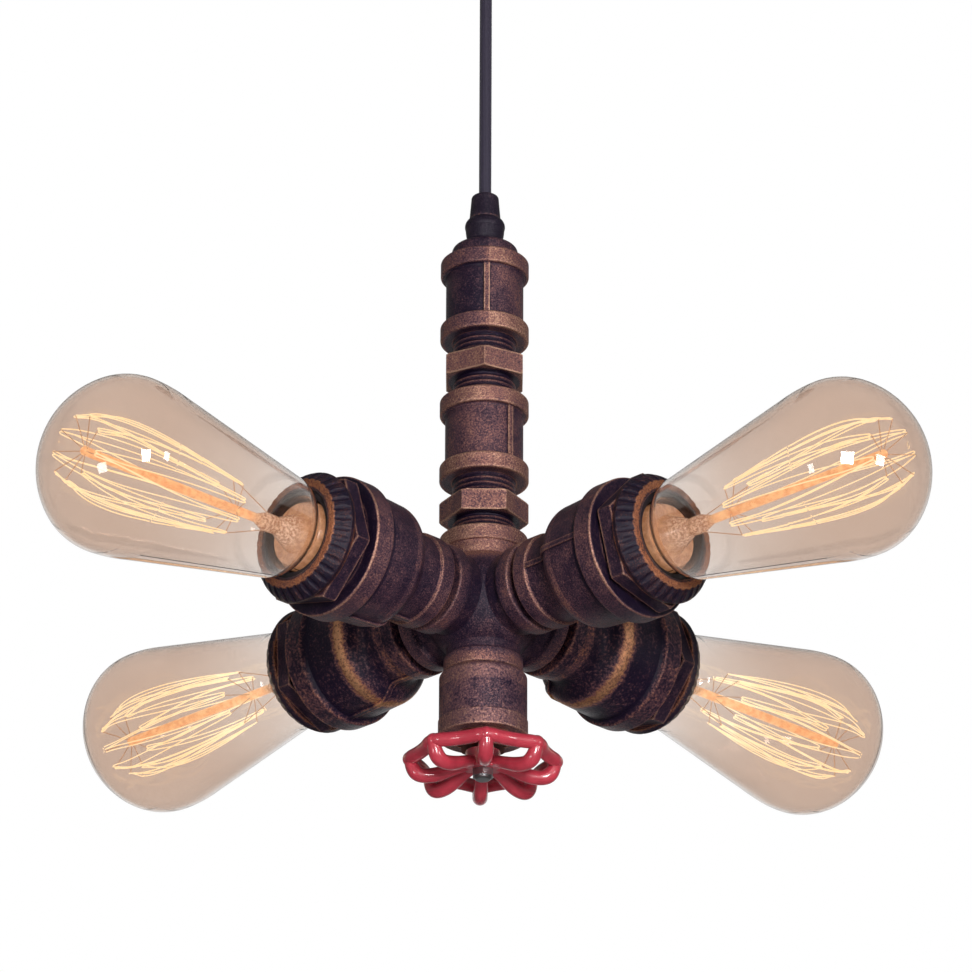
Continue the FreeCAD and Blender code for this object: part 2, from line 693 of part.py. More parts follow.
def make_hex_nipple(label, hex_foot, show_below, turn):
    body = new_body(label)
    below = -show_below
    points = [(0, below - thread_hold), (thread_radius, below - thread_hold)]
    points += thread_points(below, show_below, thread_radius)
    points += [(thread_radius - thread_depth, 0), (thread_radius - thread_depth, hex_height)]
    upper = thread_points(hex_height, thread_show, thread_radius)
    points += upper[1:]
    points += [(thread_radius, hex_height + thread_show)]
    points += [(thread_radius, hex_height + thread_show + thread_hold)]
    points += [(0, hex_height + thread_show + thread_hold)]
    revolve(body, points)
    hexagon(body, hex_flats, 0, hex_height)
    bevel_hexagon(body, hex_flats, term(0), hex_height)
    top = hex_height + thread_show + thread_hold
    low = below - thread_hold
    revolve(body, [(0, low), (nipple_bore, low), (nipple_bore, top), (0, top)], "Groove")
    place(body, hex_foot, turn)
    return keep(body, label)


def branch_points(reach, tube, band):
    """One branch of the cross as a turned outline. Its fillet dives into the round middle."""
    foot = reach - band_height
    edge = band_edge
    fillet_r = tube + cross_fillet * (1 - cosine(cross_fillet_sweep))
    fillet_low = cross_fillet_top - cross_fillet * sine(cross_fillet_sweep)
    return [
        (0, 0),
        (fillet_r, fillet_low, -cross_fillet),
        (tube, cross_fillet_top),
        (tube, foot - 0.4),
        (band - edge, foot + 0.3, edge),
        (band, foot + 0.3 + edge),
        (band, reach - edge, edge),
        (band - edge, reach),
        (0, reach),
    ]


def make_cross():
    """A round-bodied cross with six banded branches, bored through along all three axes."""
    solids = []
    ball = doc.addObject("Part::Sphere", "cross_middle")
    bind(ball, "Radius", cross_ball)
    bind(ball, "Placement.Base.z", arm_level)
    solids.append(ball)
    uprights = (
        ("cross_up", 0, cross_radius, cross_band),
        ("cross_down", 180, cross_foot_radius, cross_foot_band),
    )
    for name, flip, tube, band in uprights:
        body = new_body(name)
        revolve(body, branch_points(cross_half_up, tube, band))
        body.Placement = FreeCAD.Placement(Vector(0, 0, 0), FreeCAD.Rotation(Vector(1, 0, 0), flip))
        bind(body, "Placement.Base.z", arm_level)
        solids.append(body)
    for name, azimuth in ARMS:
        body = new_body("cross_" + name)
        revolve(body, branch_points(cross_half_out, cross_radius, cross_side_band))
        place_on_arm(body, azimuth)
        solids.append(body)
    casting = doc.addObject("Part::MultiFuse", "cross_casting")
    casting.Shapes = solids
    upright = doc.addObject("Part::Cylinder", "cross_bore_up")
    bind(upright, "Radius", bore)
    bind(upright, "Height", cross_half_up * 2)
    bind(upright, "Placement.Base.z", cross_foot)
    bores = [upright]
    for name, azimuth in ARMS[:2]:
        hole = doc.addObject("Part::Cylinder", "cross_bore_" + name)
        bind(hole, "Radius", bore)
        bind(hole, "Height", cross_half_out * 2)
        lying = FreeCAD.Rotation(Vector(0, 1, 0), 90)
        outwards = FreeCAD.Rotation(Vector(0, 0, 1), azimuth).multiply(lying)
        hole.Placement = FreeCAD.Placement(Vector(0, 0, 0), outwards)
        start = cross_half_out * -1
        bind(hole, "Placement.Base.x", start * math.cos(math.radians(azimuth)))
        bind(hole, "Placement.Base.y", start * math.sin(math.radians(azimuth)))
        bind(hole, "Placement.Base.z", arm_level)
        bores.append(hole)
    drilling = doc.addObject("Part::MultiFuse", "cross_drilling")
    drilling.Shapes = bores
    cross = doc.addObject("Part::Cut", "cross_body")
    cross.Base = casting
    cross.Tool = drilling
    return keep(cross, "cross_body")


def make_close_nipples():
    """Bare threaded tubes: four between the cross and the sockets, one to the bottom coupling."""
    nipples = []
    start = cross_half_out - thread_hold
    end = socket_start + thread_hold
    for name, azimuth in ARMS:
        body = new_body("nipple_" + name)
        points = [(nipple_bore, start), (thread_radius, start)]
        points += thread_points(cross_half_out, socket_gap, thread_radius)
        points += [(thread_radius, socket_start), (thread_radius, end), (nipple_bore, end)]
        revolve(body, points)
        place_on_arm(body, azimuth)
        nipples.append(body)
    body = new_body("nipple_down")
    low, high = bottom_top - thread_hold, cross_foot + thread_hold
    revolve(body, [(nipple_bore, low), (thread_radius, low), (thread_radius, high), (nipple_bore, high)])
    nipples.append(body)
    return compound("close_nipples", nipples)


def make_socket(name, azimuth, turn):
    """A reducing socket: banded small end, flared neck, bell and banded large end, with two ribs."""
    body = new_body("reducing_socket_" + name)
    edge = band_edge
    small_end = socket_start + band_height
    neck_end = small_end + socket_waist
    shoulder = neck_end + socket_flare
    big_start = socket_end - socket_large_height
    bore_start = socket_end - socket_bore_depth
    step = bore_start - 6
    rise = socket_shoulder - socket_neck
    curves = (socket_flare * socket_flare + rise * rise) / (rise * 2)

    def flank(lift):
        """The flare from neck to shoulder, as a hollow and a round curve, lifted off the metal."""
        lean = term(lift) / curves
        bend_out = socket_neck + rise * socket_hollow + lift - lean * rise
        bend_along = neck_end + socket_flare * socket_hollow - lean * socket_flare
        return [
            (socket_neck + lift, neck_end, lift - curves * socket_hollow),
            (bend_out, bend_along, curves * (1 - socket_hollow) + lift),
            (socket_shoulder + lift, shoulder),
        ]

    revolve(body, [
        (bore, socket_start),
        (socket_small_band - edge, socket_start, edge),
        (socket_small_band, socket_start + edge),
        (socket_small_band, small_end - edge, edge),
        (socket_small_band - edge, small_end),
        (socket_neck, small_end + 0.4),
        *flank(0),
        (socket_bell, big_start - 1),
        (socket_large_band - edge, big_start, edge),
        (socket_large_band, big_start + edge),
        (socket_large_band, socket_end - edge, edge),
        (socket_large_band - edge, socket_end),
        (socket_bore, socket_end),
        (socket_bore, bore_start),
        (bore, step),
    ])
    sketch = outline(new_sketch(body, "XZ_Plane"), [
        (socket_neck - 1.5, small_end - 1),
        (socket_neck + rib_rise, small_end - 1),
        *flank(rib_rise),
        (socket_bell + rib_rise, big_start + 1),
        (socket_bell - 1.5, big_start + 1),
        (socket_shoulder - 1.5, shoulder),
        (socket_neck - 1.5, neck_end),
    ])
    rib = pad(body, sketch, rib_width, midplane=True)
    around(body, rib, sketch, "V_Axis", 2)
    place_on_arm(body, azimuth, turn)
    return keep(body, body.Label)


def make_bush(name, azimuth, turn):
    """A hex bush that screws into the socket and carries the lampholder."""
    body = new_body("hex_bush_" + name)
    outer = socket_bore - thread_fit
    inner = barrel_radius + barrel_fit
    revolve(body, [
        (0, bush_start),
        (outer, bush_start),
        (outer, socket_end),
        (outer - thread_depth, socket_end + 0.3),
        (outer - thread_depth, hex_start),
        (outer - thread_depth, hex_end),
        (0, hex_end),
    ])
    hexagon(body, bush_flats, hex_start, bush_hex)
    bevel_hexagon(body, bush_flats, hex_start, bush_hex)
    revolve(body, [(0, bush_start), (inner, bush_start), (inner, hex_end), (0, hex_end)], "Groove")
    place_on_arm(body, azimuth, turn)
    return keep(body, body.Label)


def make_holder(name, azimuth):
    """The lampholder's insulating body: a flange behind the bush and a barrel through it."""
    body = new_body("holder_body_" + name)
    inner = barrel_radius - barrel_wall
    floor = lamp_foot - contact_gap - 2
    revolve(body, [
        (0, holder_start),
        (holder_flange - 6, holder_start),
        (holder_flange, flange_start),
        (holder_flange, bush_start),
        (barrel_radius, bush_start),
        (barrel_radius, barrel_end),
        (inner, barrel_end),
        (inner, floor + 6),
        (inner - 4.6, floor + 6),
        (inner - 4.6, floor),
        (0, floor),
    ])
    place_on_arm(body, azimuth)
    return keep(body, body.Label)


def make_ring(name, azimuth):
    """The clamp ring: a fluted cone over the barrel's end with a flat front lip."""
    body = new_body("clamp_ring_" + name)
    inner = barrel_radius + barrel_fit
    belly = hex_end + ring_length * 0.3
    revolve(body, [
        (inner, hex_end),
        (ring_rear, hex_end),
        (ring_radius, belly, 12),
        (ring_front, ring_end - 0.5, 0.6),
        (ring_front - 0.6, ring_end),
        (ring_mouth + 0.5, ring_end, 0.5),
        (ring_mouth, ring_end - 0.5),
        (ring_mouth, ring_end - ring_lip),
        (inner, ring_end - ring_lip),
    ])
    rear = new_sketch(body, "XY_Plane", belly - 0.6)
    circle(rear, 0, ring_radius + flute_radius * 1.25, flute_radius)
    front = new_sketch(body, "XY_Plane", ring_end + 0.5)
    circle(front, 0, ring_front + flute_radius - flute_depth, flute_radius)
    flute = body.newObject("PartDesign::SubtractiveLoft", body.Label + "_flute")
    flute.Profile = rear
    flute.Sections = [front]
    around(body, flute, front, "N_Axis", flutes)
    place_on_arm(body, azimuth)
    return keep(body, body.Label)


def make_shells():
    """The brass screw shells in the lampholders."""
    shells = []
    outer = shell_radius + shell_wall
    low = lamp_foot - contact_gap + 4 + shell_wall
    for name, azimuth in ARMS:
        body = new_body("screw_shell_" + name)
        revolve(body, [
            (shell_radius - 3, low - shell_wall),
            (outer, low - shell_wall),
            (outer, barrel_end - 5.5),
            (shell_radius, barrel_end - 5.5),
            (shell_radius, low),
            (shell_radius - 3, low),
        ])
        place_on_arm(body, azimuth)
        shells.append(body)
    return compound("screw_shells", shells)


def make_contacts():
    """The sprung centre contacts on the floors of the lampholders."""
    contacts = []
    floor = lamp_foot - contact_gap - 2
    for name, azimuth in ARMS:
        body = new_body("contact_" + name)
        revolve(body, [
            (0, floor),
            (contact_radius, floor),
            (contact_radius, floor + 1),
            (contact_radius - 1.5, floor + 2),
            (0, floor + 2),
        ])
        place_on_arm(body, azimuth)
        contacts.append(body)
    return compound("centre_contacts", contacts)


def make_cap(name, azimuth):
    """The lamp's screw cap, with its tapered insulator and its tip contact as one piece."""
    body = new_body("lamp_cap_" + name)
    end = lamp_foot + cap_length
    revolve(body, [
        (0, lamp_foot),
        (4.4, lamp_foot),
        (5, lamp_foot + 1.6),
        (cap_radius - 2, lamp_foot + 5.4),
        (cap_radius, lamp_foot + 7.2),
        (cap_radius, end - 1.8),
        (cap_radius + 0.8, end - 1.8),
        (cap_radius + 0.8, end),
        (cap_radius - 1.5, end),
        (cap_radius - 1.5, lamp_foot + 8),
        (0, lamp_foot + 8),
    ])
    place_on_arm(body, azimuth)
    return keep(body, body.Label)


def glass_outline(wall):
    """The glass from its neck to its tip, drawn in by a wall's thickness."""
    tip = lamp_foot + lamp_length
    belly = tip - glass_tip
    belly_x = glass_radius - glass_belly
    side_x = glass_radius - glass_side
    taper_top = belly - glass_belly * sine(glass_slope)
    taper_top_x = belly_x + glass_belly * cosine(glass_slope)
    shoulder_x = glass_shoulder_r - glass_shoulder * cosine(glass_slope)
    shoulder_y = taper_top - (taper_top_x - glass_shoulder_r) / tangent(glass_slope)
    shoulder_y = shoulder_y + glass_shoulder * sine(glass_slope)
    reach = glass_shoulder + glass_neck_curve
    neck_x = shoulder_x + reach * cosine(glass_shoulder_angle)
    neck_y = shoulder_y - reach * sine(glass_shoulder_angle)
    tip_radius = glass_side + side_x / cosine(glass_tip_angle)

    neck_curve = glass_neck_curve + wall
    shoulder = glass_shoulder - wall
    below = glass_belly - wall
    above = glass_side - wall
    return [
        (neck_x - neck_curve, lamp_foot + cap_length),
        (neck_x - neck_curve, neck_y, -neck_curve),
        (shoulder_x + shoulder * cosine(glass_shoulder_angle),
         shoulder_y - shoulder * sine(glass_shoulder_angle), shoulder),
        (shoulder_x + shoulder * cosine(glass_slope), shoulder_y - shoulder * sine(glass_slope)),
        (belly_x + below * cosine(glass_slope), belly - below * sine(glass_slope), below),
        (glass_radius - wall, belly, above),
        (side_x + above * cosine(glass_tip_angle), belly + above * sine(glass_tip_angle), tip_radius - wall),
        (0, belly - side_x * tangent(glass_tip_angle) + tip_radius - wall),
    ]


def make_glass(name, azimuth):
    """The pear-shaped glass, a hollow shell that is open only where the stem seals it."""
    body = new_body("lamp_glass_" + name)
    outer = glass_outline(term(0))
    inner = glass_outline(glass_wall)
    points = list(outer)
    for index in range(len(inner) - 1, -1, -1):
        place_now = inner[index]
        before = inner[index - 1] if index else None
        if before is not None and len(before) == 3:
            points.append((place_now[0], place_now[1], before[2] * -1))
        else:
            points.append((place_now[0], place_now[1]))
    revolve(body, points)
    place_on_arm(body, azimuth)
    return keep(body, body.Label)


def make_stem(name, azimuth):
    """The glass stem: a flare sealed in the neck, a pinch and a long thin rod."""
    body = new_body("lamp_stem_" + name)
    start = lamp_foot + cap_length + 0.4
    wide = neck_inside - 0.1
    revolve(body, [
        (0, start),
        (wide, start),
        (wide, start + 1.6),
        (wide - 0.8, start + 3.2),
        (wide - 1.4, start + 4.2),
        (7.5, start + 4.2),
        (pinch_radius, start + 14, 22),
        (pinch_radius, start + 20),
        (rod_radius, start + 24),
        (rod_radius, stem_end - rod_radius, rod_radius),
        (0, stem_end),
    ])
    place_on_arm(body, azimuth)
    return keep(body, body.Label)


def filament_shape():
    """A cage of glowing wires, bowed out between two rings of hooks on the stem."""
    near_s = (lamp_foot + cage_start).value
    far_s = near_s + cage_length.value
    bow_s = near_s + cage_length.value * cage_bow_share.value
    count = int(hairpins.value)
    step = math.pi / count
    wire = wire_radius.value
    hook = hook_radius.value

    def ring_point(reach, angle, station):
        return Vector(reach * math.cos(angle), reach * math.sin(angle), station)

    path = []
    pieces = []
    for number in range(2 * count):
        angle = step * number
        reach, station, root_s = cage_near.value, near_s, near_s - hook_slant.value
        if number % 2:
            reach, station, root_s = cage_far.value, far_s, far_s - hook_slant.value
        corner = ring_point(reach, angle, station)
        foot = Vector(0, 0, root_s)
        pieces.append(Part.makeCylinder(hook, (corner - foot).Length, foot, corner - foot))
        path.append(corner)
        path.append(ring_point(cage_bow.value, angle + step / 2, bow_s))
    for index, corner in enumerate(path):
        span = path[(index + 1) % len(path)] - corner
        pieces.append(Part.makeCylinder(wire, span.Length, corner, span))
        pieces.append(Part.makeSphere(wire * 1.15, corner))
    pinch_s = (lamp_foot + cap_length).value + 18
    for number in (0, count - count % 2):
        corner = path[2 * number]
        foot = ring_point(pinch_radius.value - 0.6, step * number, pinch_s)
        pieces.append(Part.makeCylinder(hook, (corner - foot).Length, foot, corner - foot))
    cage = pieces[0].multiFuse(pieces[1:])
    rod_clear = (rod_radius + sealed_fit).value
    pinch_clear = (pinch_radius + sealed_fit).value
    rod = Part.makeCylinder(rod_clear, stem_end.value - pinch_s, Vector(0, 0, pinch_s))
    pinch = Part.makeCylinder(pinch_clear, 8, Vector(0, 0, pinch_s - 5))
    return cage.cut(rod).cut(pinch)


def wavy_ring(crest, valley, corner, height):
    """A closed path of arcs with a rounded corner at each spoke and a slight hollow between them."""
    half = math.pi / spokes.value
    inner = crest - corner
    hollow = ((corner - valley) ** 2 - inner ** 2) / (-2 * (inner * math.cos(half) + corner - valley))
    outer_radius = hollow - valley
    edges = []
    share = corner / (corner + outer_radius)

    def polar(reach, angle):
        return Vector(reach * math.cos(angle), reach * math.sin(angle), height)

    for number in range(int(spokes.value)):
        top = 2 * half * number
        joints = []
        for side in (-1, 1):
            corner_centre = polar(inner, top)
            hollow_centre = polar(hollow, top + side * half)
            joints.append(corner_centre + (hollow_centre - corner_centre) * share)
        edges.append(Part.Arc(joints[0], polar(crest, top), joints[1]).toShape())
        following = polar(inner, top + 2 * half)
        next_joint = following + (polar(hollow, top + half) - following) * share
        edges.append(Part.Arc(joints[1], polar(valley, top + half), next_joint).toShape())
    return Part.Wire(edges)


def swept_ring(path, section):
    """A round bar of the given radius along a closed wavy path."""
    first = path.Edges[0]
    start = first.valueAt(first.FirstParameter)
    direction = first.tangentAt(first.FirstParameter)
    profile = Part.Wire([Part.makeCircle(section, start, direction)])
    return path.makePipeShell([profile], True, False)


def spoke_along_x(top):
    """One spoke: a bar that droops from the hub to its heel, turns up and runs into the rim's corner."""
    stations = (
        (root_reach, root_drop, root_thick),
        (arch_reach, arch_drop, arch_thick),
        (sag_reach, sag_drop, sag_thick),
        (rim_crest - elbow_inset, elbow_drop, elbow_thick),
        (rim_crest - heel_inset, heel_drop, heel_thick),
        (rim_crest - rise_inset, rise_drop, rise_thick),
        (rim_crest, rim_drop + spoke_end_below, spoke_end_thick),
    )
    middles = [Vector(reach.value, 0, top - drop.value) for reach, drop, thick in stations]
    sections = []
    for number, (reach, drop, thick) in enumerate(stations):
        behind = middles[max(number - 1, 0)]
        ahead = middles[min(number + 1, len(middles) - 1)]
        sections.append(Part.Wire([Part.makeCircle(thick.value, middles[number], ahead - behind)]))
    return Part.makeLoft(sections, True, False)


def make_wheel():
    """The dished handwheel: a cornered rim, a hub, and a drooping spoke up to each corner of the rim."""
    top = wheel_top.value
    axis = Vector(0, 0, 1)
    rim_height = top - rim_drop.value
    wave = wavy_ring(rim_crest.value, rim_valley.value, rim_corner.value, rim_height)
    rim = swept_ring(wave, rim_thick.value)
    pieces = [Part.makeCylinder(hub_radius.value, hub_height.value, Vector(0, 0, top - hub_height.value))]
    for number in range(int(spokes.value)):
        knuckle = Part.makeSphere(knuckle_radius.value, Vector(rim_crest.value, 0, rim_height))
        for piece in (spoke_along_x(top), knuckle):
            piece.rotate(Vector(0, 0, 0), axis, 360 * number / spokes.value)
            pieces.append(piece)
    wheel = rim.multiFuse(pieces)
    bore_foot = Vector(0, 0, top - 2 * hub_height.value)
    wheel = wheel.cut(Part.makeCylinder((spindle_seat + seat_fit).value, 3 * hub_height.value, bore_foot))
    wheel.rotate(Vector(0, 0, 0), axis, 270 + wheel_turn.value)
    feature = doc.addObject("Part::Feature", "handwheel")
    feature.Shape = wheel.removeSplitter()
    return keep(feature, "handwheel")


def make_bottom():
    """The bottom coupling, its gland bush, the spindle and the wheel's nut."""
    body = new_body("bottom_coupling")
    edge = band_edge / 2
    band_top = bottom_foot + band_height
    revolve(body, [
        (bore, bottom_foot),
        (bottom_band - edge, bottom_foot, edge),
        (bottom_band, bottom_foot + edge),
        (bottom_band, band_top - 0.2),
        (bottom_radius, band_top + 0.1),
        (bottom_radius, bottom_top - bottom_shoulder, bottom_shoulder),
        (bottom_radius - bottom_shoulder, bottom_top),
        (bore, bottom_top),
    ])
    keep(body, "bottom_coupling")

    bush = new_body("gland_bush")
    head_foot = bottom_foot - bush_head_height
    bush_top = bottom_foot + thread_hold
    low = bottom_foot + 0.4
    revolve(bush, [(0, low), (thread_radius, low), (thread_radius, bush_top), (0, bush_top)])
    hexagon(bush, bush_head_flats, head_foot, bush_head_height + 1)
    bevel_hexagon(bush, bush_head_flats, head_foot, bush_head_height)
    running = spindle_radius + spindle_fit
    revolve(bush, [(0, head_foot), (running, head_foot), (running, bush_top), (0, bush_top)], "Groove")
    keep(bush, "gland_bush")

    spindle = new_body("spindle")
    hub_foot = wheel_top - hub_height
    end = hub_foot - nut_height - 1.2
    revolve(spindle, [
        (0, end),
        (spindle_seat - 0.5, end),
        (spindle_seat, end + 0.5),
        (spindle_seat, wheel_top),
        (spindle_radius, wheel_top),
        (spindle_radius, bush_top + 0.05),
        (collar_radius, bush_top + 0.05),
        (collar_radius, bush_top + collar_height),
        (0, bush_top + collar_height),
    ])
    keep(spindle, "spindle")

    nut = new_body("wheel_nut")
    hexagon(nut, nut_radius * term(3 ** 0.5), hub_foot - nut_height, nut_height)
    nut_hole = new_sketch(nut, "XY_Plane", hub_foot - nut_height)
    circle(nut_hole, 0, 0, spindle_seat + seat_fit)
    doc.recompute()
    pocket = nut.newObject("PartDesign::Pocket", "wheel_nut_bore")
    pocket.Profile = nut_hole
    pocket.Length = nut_height.value * 2
    bind(pocket, "Length", nut_height * 2)
    pocket.Reversed = True
    keep(nut, "wheel_nut")


def make_leads():
    """Each lamp's twin lead: down from the splice block, round the bend and out along its arm."""
    leads = []
    level = arm_level.value
    bend = lead_bend.value
    start = splice_foot.value + cord_entry.value
    for name, azimuth in ARMS:
        angle = math.radians(azimuth)
        out = Vector(math.cos(angle), math.sin(angle), 0)
        near = out * lead_offset.value
        turn_start = near + Vector(0, 0, level + bend)
        turn_middle = near + out * (bend * (1 - math.cos(math.pi / 4)))
        turn_middle += Vector(0, 0, level + bend * (1 - math.sin(math.pi / 4)))
        turn_end = near + out * bend + Vector(0, 0, level)
        finish = out * holder_start.value + Vector(0, 0, level)
        path = Part.Wire([
            Part.LineSegment(near + Vector(0, 0, start), turn_start).toShape(),
            Part.Arc(turn_start, turn_middle, turn_end).toShape(),
            Part.LineSegment(turn_end, finish).toShape(),
        ])
        mouth = Part.makeCircle(lead_radius.value, near + Vector(0, 0, start), Vector(0, 0, -1))
        profile = Part.Wire([mouth])
        leads.append(path.makePipeShell([profile], True, False))
    feature = doc.addObject("Part::Feature", "lamp_leads")
    feature.Shape = Part.Compound(leads)
    return keep(feature, "lamp_leads")


def make_splice():
    """The block that joins the cable to the four leads, seated on the lower nipple's end."""
    body = new_body("splice_block")
    top = splice_foot + splice_height
    sketch = new_sketch(body, "XY_Plane", splice_foot)
    circle(sketch, 0, 0, splice_radius)
    pad(body, sketch, splice_height)
    flange = new_sketch(body, "XY_Plane", splice_foot + splice_height / 2)
    circle(flange, 0, 0, thread_radius - 0.6)
    pad(body, flange, 2)
    holes = new_sketch(body, "XY_Plane", splice_foot)
    for name, azimuth in ARMS:
        angle = math.radians(azimuth)
        circle(holes, lead_offset * math.cos(angle), lead_offset * math.sin(angle), lead_radius + cord_fit)
    doc.recompute()
    lower = body.newObject("PartDesign::Pocket", "lead_holes")
    lower.Profile = holes
    lower.Length = cord_entry.value
    bind(lower, "Length", cord_entry)
    lower.Reversed = True
    hole = new_sketch(body, "XY_Plane", top - cord_entry)
    circle(hole, 0, 0, cord_bore)
    doc.recompute()
    upper = body.newObject("PartDesign::Pocket", "cable_hole")
    upper.Profile = hole
    upper.Length = cord_entry.value
    bind(upper, "Length", cord_entry)
    upper.Reversed = True
    return keep(body, "splice_block")


# Places that several sub-parts share
lower_nipple_top = lower_foot + thread_hold
splice_foot = lower_nipple_top + splice_seat - splice_height / 2
lamp_foot = holder_start + 5.6
stem_end = lamp_foot + cage_start + cage_length - 3
neck_inside = glass_outline(glass_wall)[0][0]
wheel_top = bottom_foot - bush_head_height - wheel_gap

make_canopy()
make_bracket()
make_canopy_screws()
make_canopy_gland()
make_terminal_block()
make_cord()
make_cord_grip()
make_plug()
make_coupling("coupling_upper", upper_foot, upper_turn)
make_hex_nipple("hex_nipple_upper", upper_hex_foot, thread_show, 0)
make_coupling("coupling_lower", lower_foot, lower_turn)
make_hex_nipple("hex_nipple_lower", lower_hex_foot, cross_thread_show, 30)
make_cross()
make_close_nipples()
make_splice()
make_leads()
make_shells()
make_contacts()

filament = filament_shape()
TURNS = {"front_left": (0, 46), "front_right": (90, 46), "back_right": (51, 10), "back_left": (0, 27)}
for name, azimuth in ARMS:
    rib_turn, hex_turn = TURNS[name]
    make_socket(name, azimuth, rib_turn)
    make_bush(name, azimuth, hex_turn)
    make_holder(name, azimuth)
    make_ring(name, azimuth)
    make_cap(name, azimuth)
    make_glass(name, azimuth)
    make_stem(name, azimuth)
    wires = doc.addObject("Part::Feature", "lamp_filament_" + name)
    wires.Shape = filament
    place_on_arm(wires, azimuth)
    keep(wires, wires.Label)

make_bottom()
make_wheel()

doc.recompute()

for thing in doc.Objects:
    if "Invalid" in thing.State or "Error" in thing.State:
        raise RuntimeError("failed: " + thing.Label)
for thing in finished:
    if thing.Shape.isNull() or not thing.Shape.isValid():
        raise RuntimeError("no valid shape: " + thing.Label)

os.makedirs("parts", exist_ok=True)
for thing in finished:
    thing.Shape.exportStep("parts/%s.step" % thing.Label)
print("nodes written:", len(finished))
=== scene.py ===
import math

import bmesh
import bpy
from mathutils import Matrix, Vector


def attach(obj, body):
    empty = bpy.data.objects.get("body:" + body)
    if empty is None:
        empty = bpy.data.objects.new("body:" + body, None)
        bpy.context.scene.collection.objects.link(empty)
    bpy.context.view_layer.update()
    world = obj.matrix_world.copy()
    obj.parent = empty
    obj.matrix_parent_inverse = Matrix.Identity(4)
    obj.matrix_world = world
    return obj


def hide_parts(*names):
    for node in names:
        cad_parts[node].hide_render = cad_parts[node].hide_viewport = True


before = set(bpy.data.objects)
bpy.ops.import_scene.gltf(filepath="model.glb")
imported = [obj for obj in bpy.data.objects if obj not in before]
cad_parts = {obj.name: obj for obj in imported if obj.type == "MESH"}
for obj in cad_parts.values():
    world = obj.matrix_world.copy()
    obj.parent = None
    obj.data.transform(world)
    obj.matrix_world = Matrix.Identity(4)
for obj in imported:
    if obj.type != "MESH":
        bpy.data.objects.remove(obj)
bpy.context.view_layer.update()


# The view.
# The light hangs overhead and is looked up at from nearly two metres away, through a long lens, so
# that the front lamps stand high in the picture and the back ones low.
arm_level = -0.3301
eye_distance = 1.960
eye_below = math.radians(22.74)
view_rise = math.radians(24.04)
view_lean = math.radians(0.22)
view_aside = math.radians(-0.024)

camera_data = bpy.data.cameras.new("camera")
camera_data.sensor_width = 36
camera_data.lens = 197.3
camera_data.clip_end = 50
camera = bpy.data.objects.new("camera", camera_data)
bpy.context.scene.collection.objects.link(camera)
bpy.context.scene.camera = camera
bpy.context.scene.view_settings.view_transform = "Standard"
eye_back = eye_distance * math.cos(eye_below)
eye_level = arm_level - eye_distance * math.sin(eye_below)
camera.matrix_world = (
    Matrix.Translation((0, -eye_back, eye_level))
    @ Matrix.Rotation(view_aside, 4, "Z")
    @ Matrix.Rotation(math.pi / 2 + view_rise, 4, "X")
    @ Matrix.Rotation(view_lean, 4, "Z")
)


# The pendant cord.
# A straight round black cord of two cores in a close woven sleeve, held taut by the light's own
# weight. It runs from the terminals in the canopy, through the gland, into the cord grip.
cord_top = -0.009
cord_foot = -0.1771
cord_diameter = 0.0047
cord_route = [(0, 0, cord_top), (0, 0, (cord_top + cord_foot) / 2), (0, 0, cord_foot)]
strands_round = 12
strand_turn_per_metre = 6200
fuzz_per_metre = 2500


def tone(red, green, blue):
    """A colour as a screen shows it, from 0 to 255, turned into the light that it reflects."""
    return [((part / 255 + 0.055) / 1.055) ** 2.4 for part in (red, green, blue)] + [1]


def add(tree, kind, feeds=(), **settings):
    """A node, with its settings, and with each of its sockets given a plain value or fed by a node."""
    node = tree.nodes.new(kind)
    for setting, value in settings.items():
        setattr(node, setting, value)
    for socket, value in dict(feeds).items():
        if isinstance(value, bpy.types.NodeSocket):
            tree.links.new(value, node.inputs[socket])
        else:
            node.inputs[socket].default_value = value
    return node


def maths(tree, operation, first, second=0.0):
    """One step of arithmetic on two values."""
    return add(tree, "ShaderNodeMath", {0: first, 1: second}, operation=operation).outputs[0]


def ramp(tree, value, low, high, low_gives=0.0, high_gives=1.0):
    """The value eased from one level at low to another at high, and held beyond them."""
    feeds = {
        "Value": value, "From Min": low, "From Max": high, "To Min": low_gives, "To Max": high_gives,
    }
    return add(tree, "ShaderNodeMapRange", feeds, interpolation_type="SMOOTHSTEP").outputs[0]


def blend(tree, share, first, second):
    """Two colours mixed by a share."""
    return add(tree, "ShaderNodeMix", {0: share, 6: first, 7: second}, data_type="RGBA").outputs[2]


def own_place(tree):
    """The point's place in the object's own space: sideways, away and up."""
    place = add(tree, "ShaderNodeTexCoord").outputs["Object"]
    return add(tree, "ShaderNodeSeparateXYZ", {0: place}).outputs


def noise(tree, scale, detail, roughness=0.55):
    """Uneven shading of the object's own space, so many spots to the metre."""
    place = add(tree, "ShaderNodeTexCoord").outputs["Object"]
    feeds = {"Vector": place, "Scale": scale, "Detail": detail, "Roughness": roughness}
    return add(tree, "ShaderNodeTexNoise", feeds).outputs[0]


def new_material(name):
    """A material with a plain Principled shader: the material, its tree and the shader."""
    material = bpy.data.materials.new(name)
    material.use_nodes = True
    return material, material.node_tree, material.node_tree.nodes["Principled BSDF"]


def feed(tree, shader, **feeds):
    """Plain values or other nodes' outputs for the shader's sockets, with underscores for spaces."""
    for socket, value in feeds.items():
        target = shader.inputs[socket.replace("_", " ")]
        if isinstance(value, bpy.types.NodeSocket):
            tree.links.new(value, target)
        else:
            target.default_value = value


def bump(tree, height, strength, depth, normal=None):
    """A surface raised by a height of up to this depth, in metres."""
    feeds = {"Height": height, "Strength": strength, "Distance": depth}
    if normal is not None:
        feeds["Normal"] = normal
    return add(tree, "ShaderNodeBump", feeds).outputs[0]


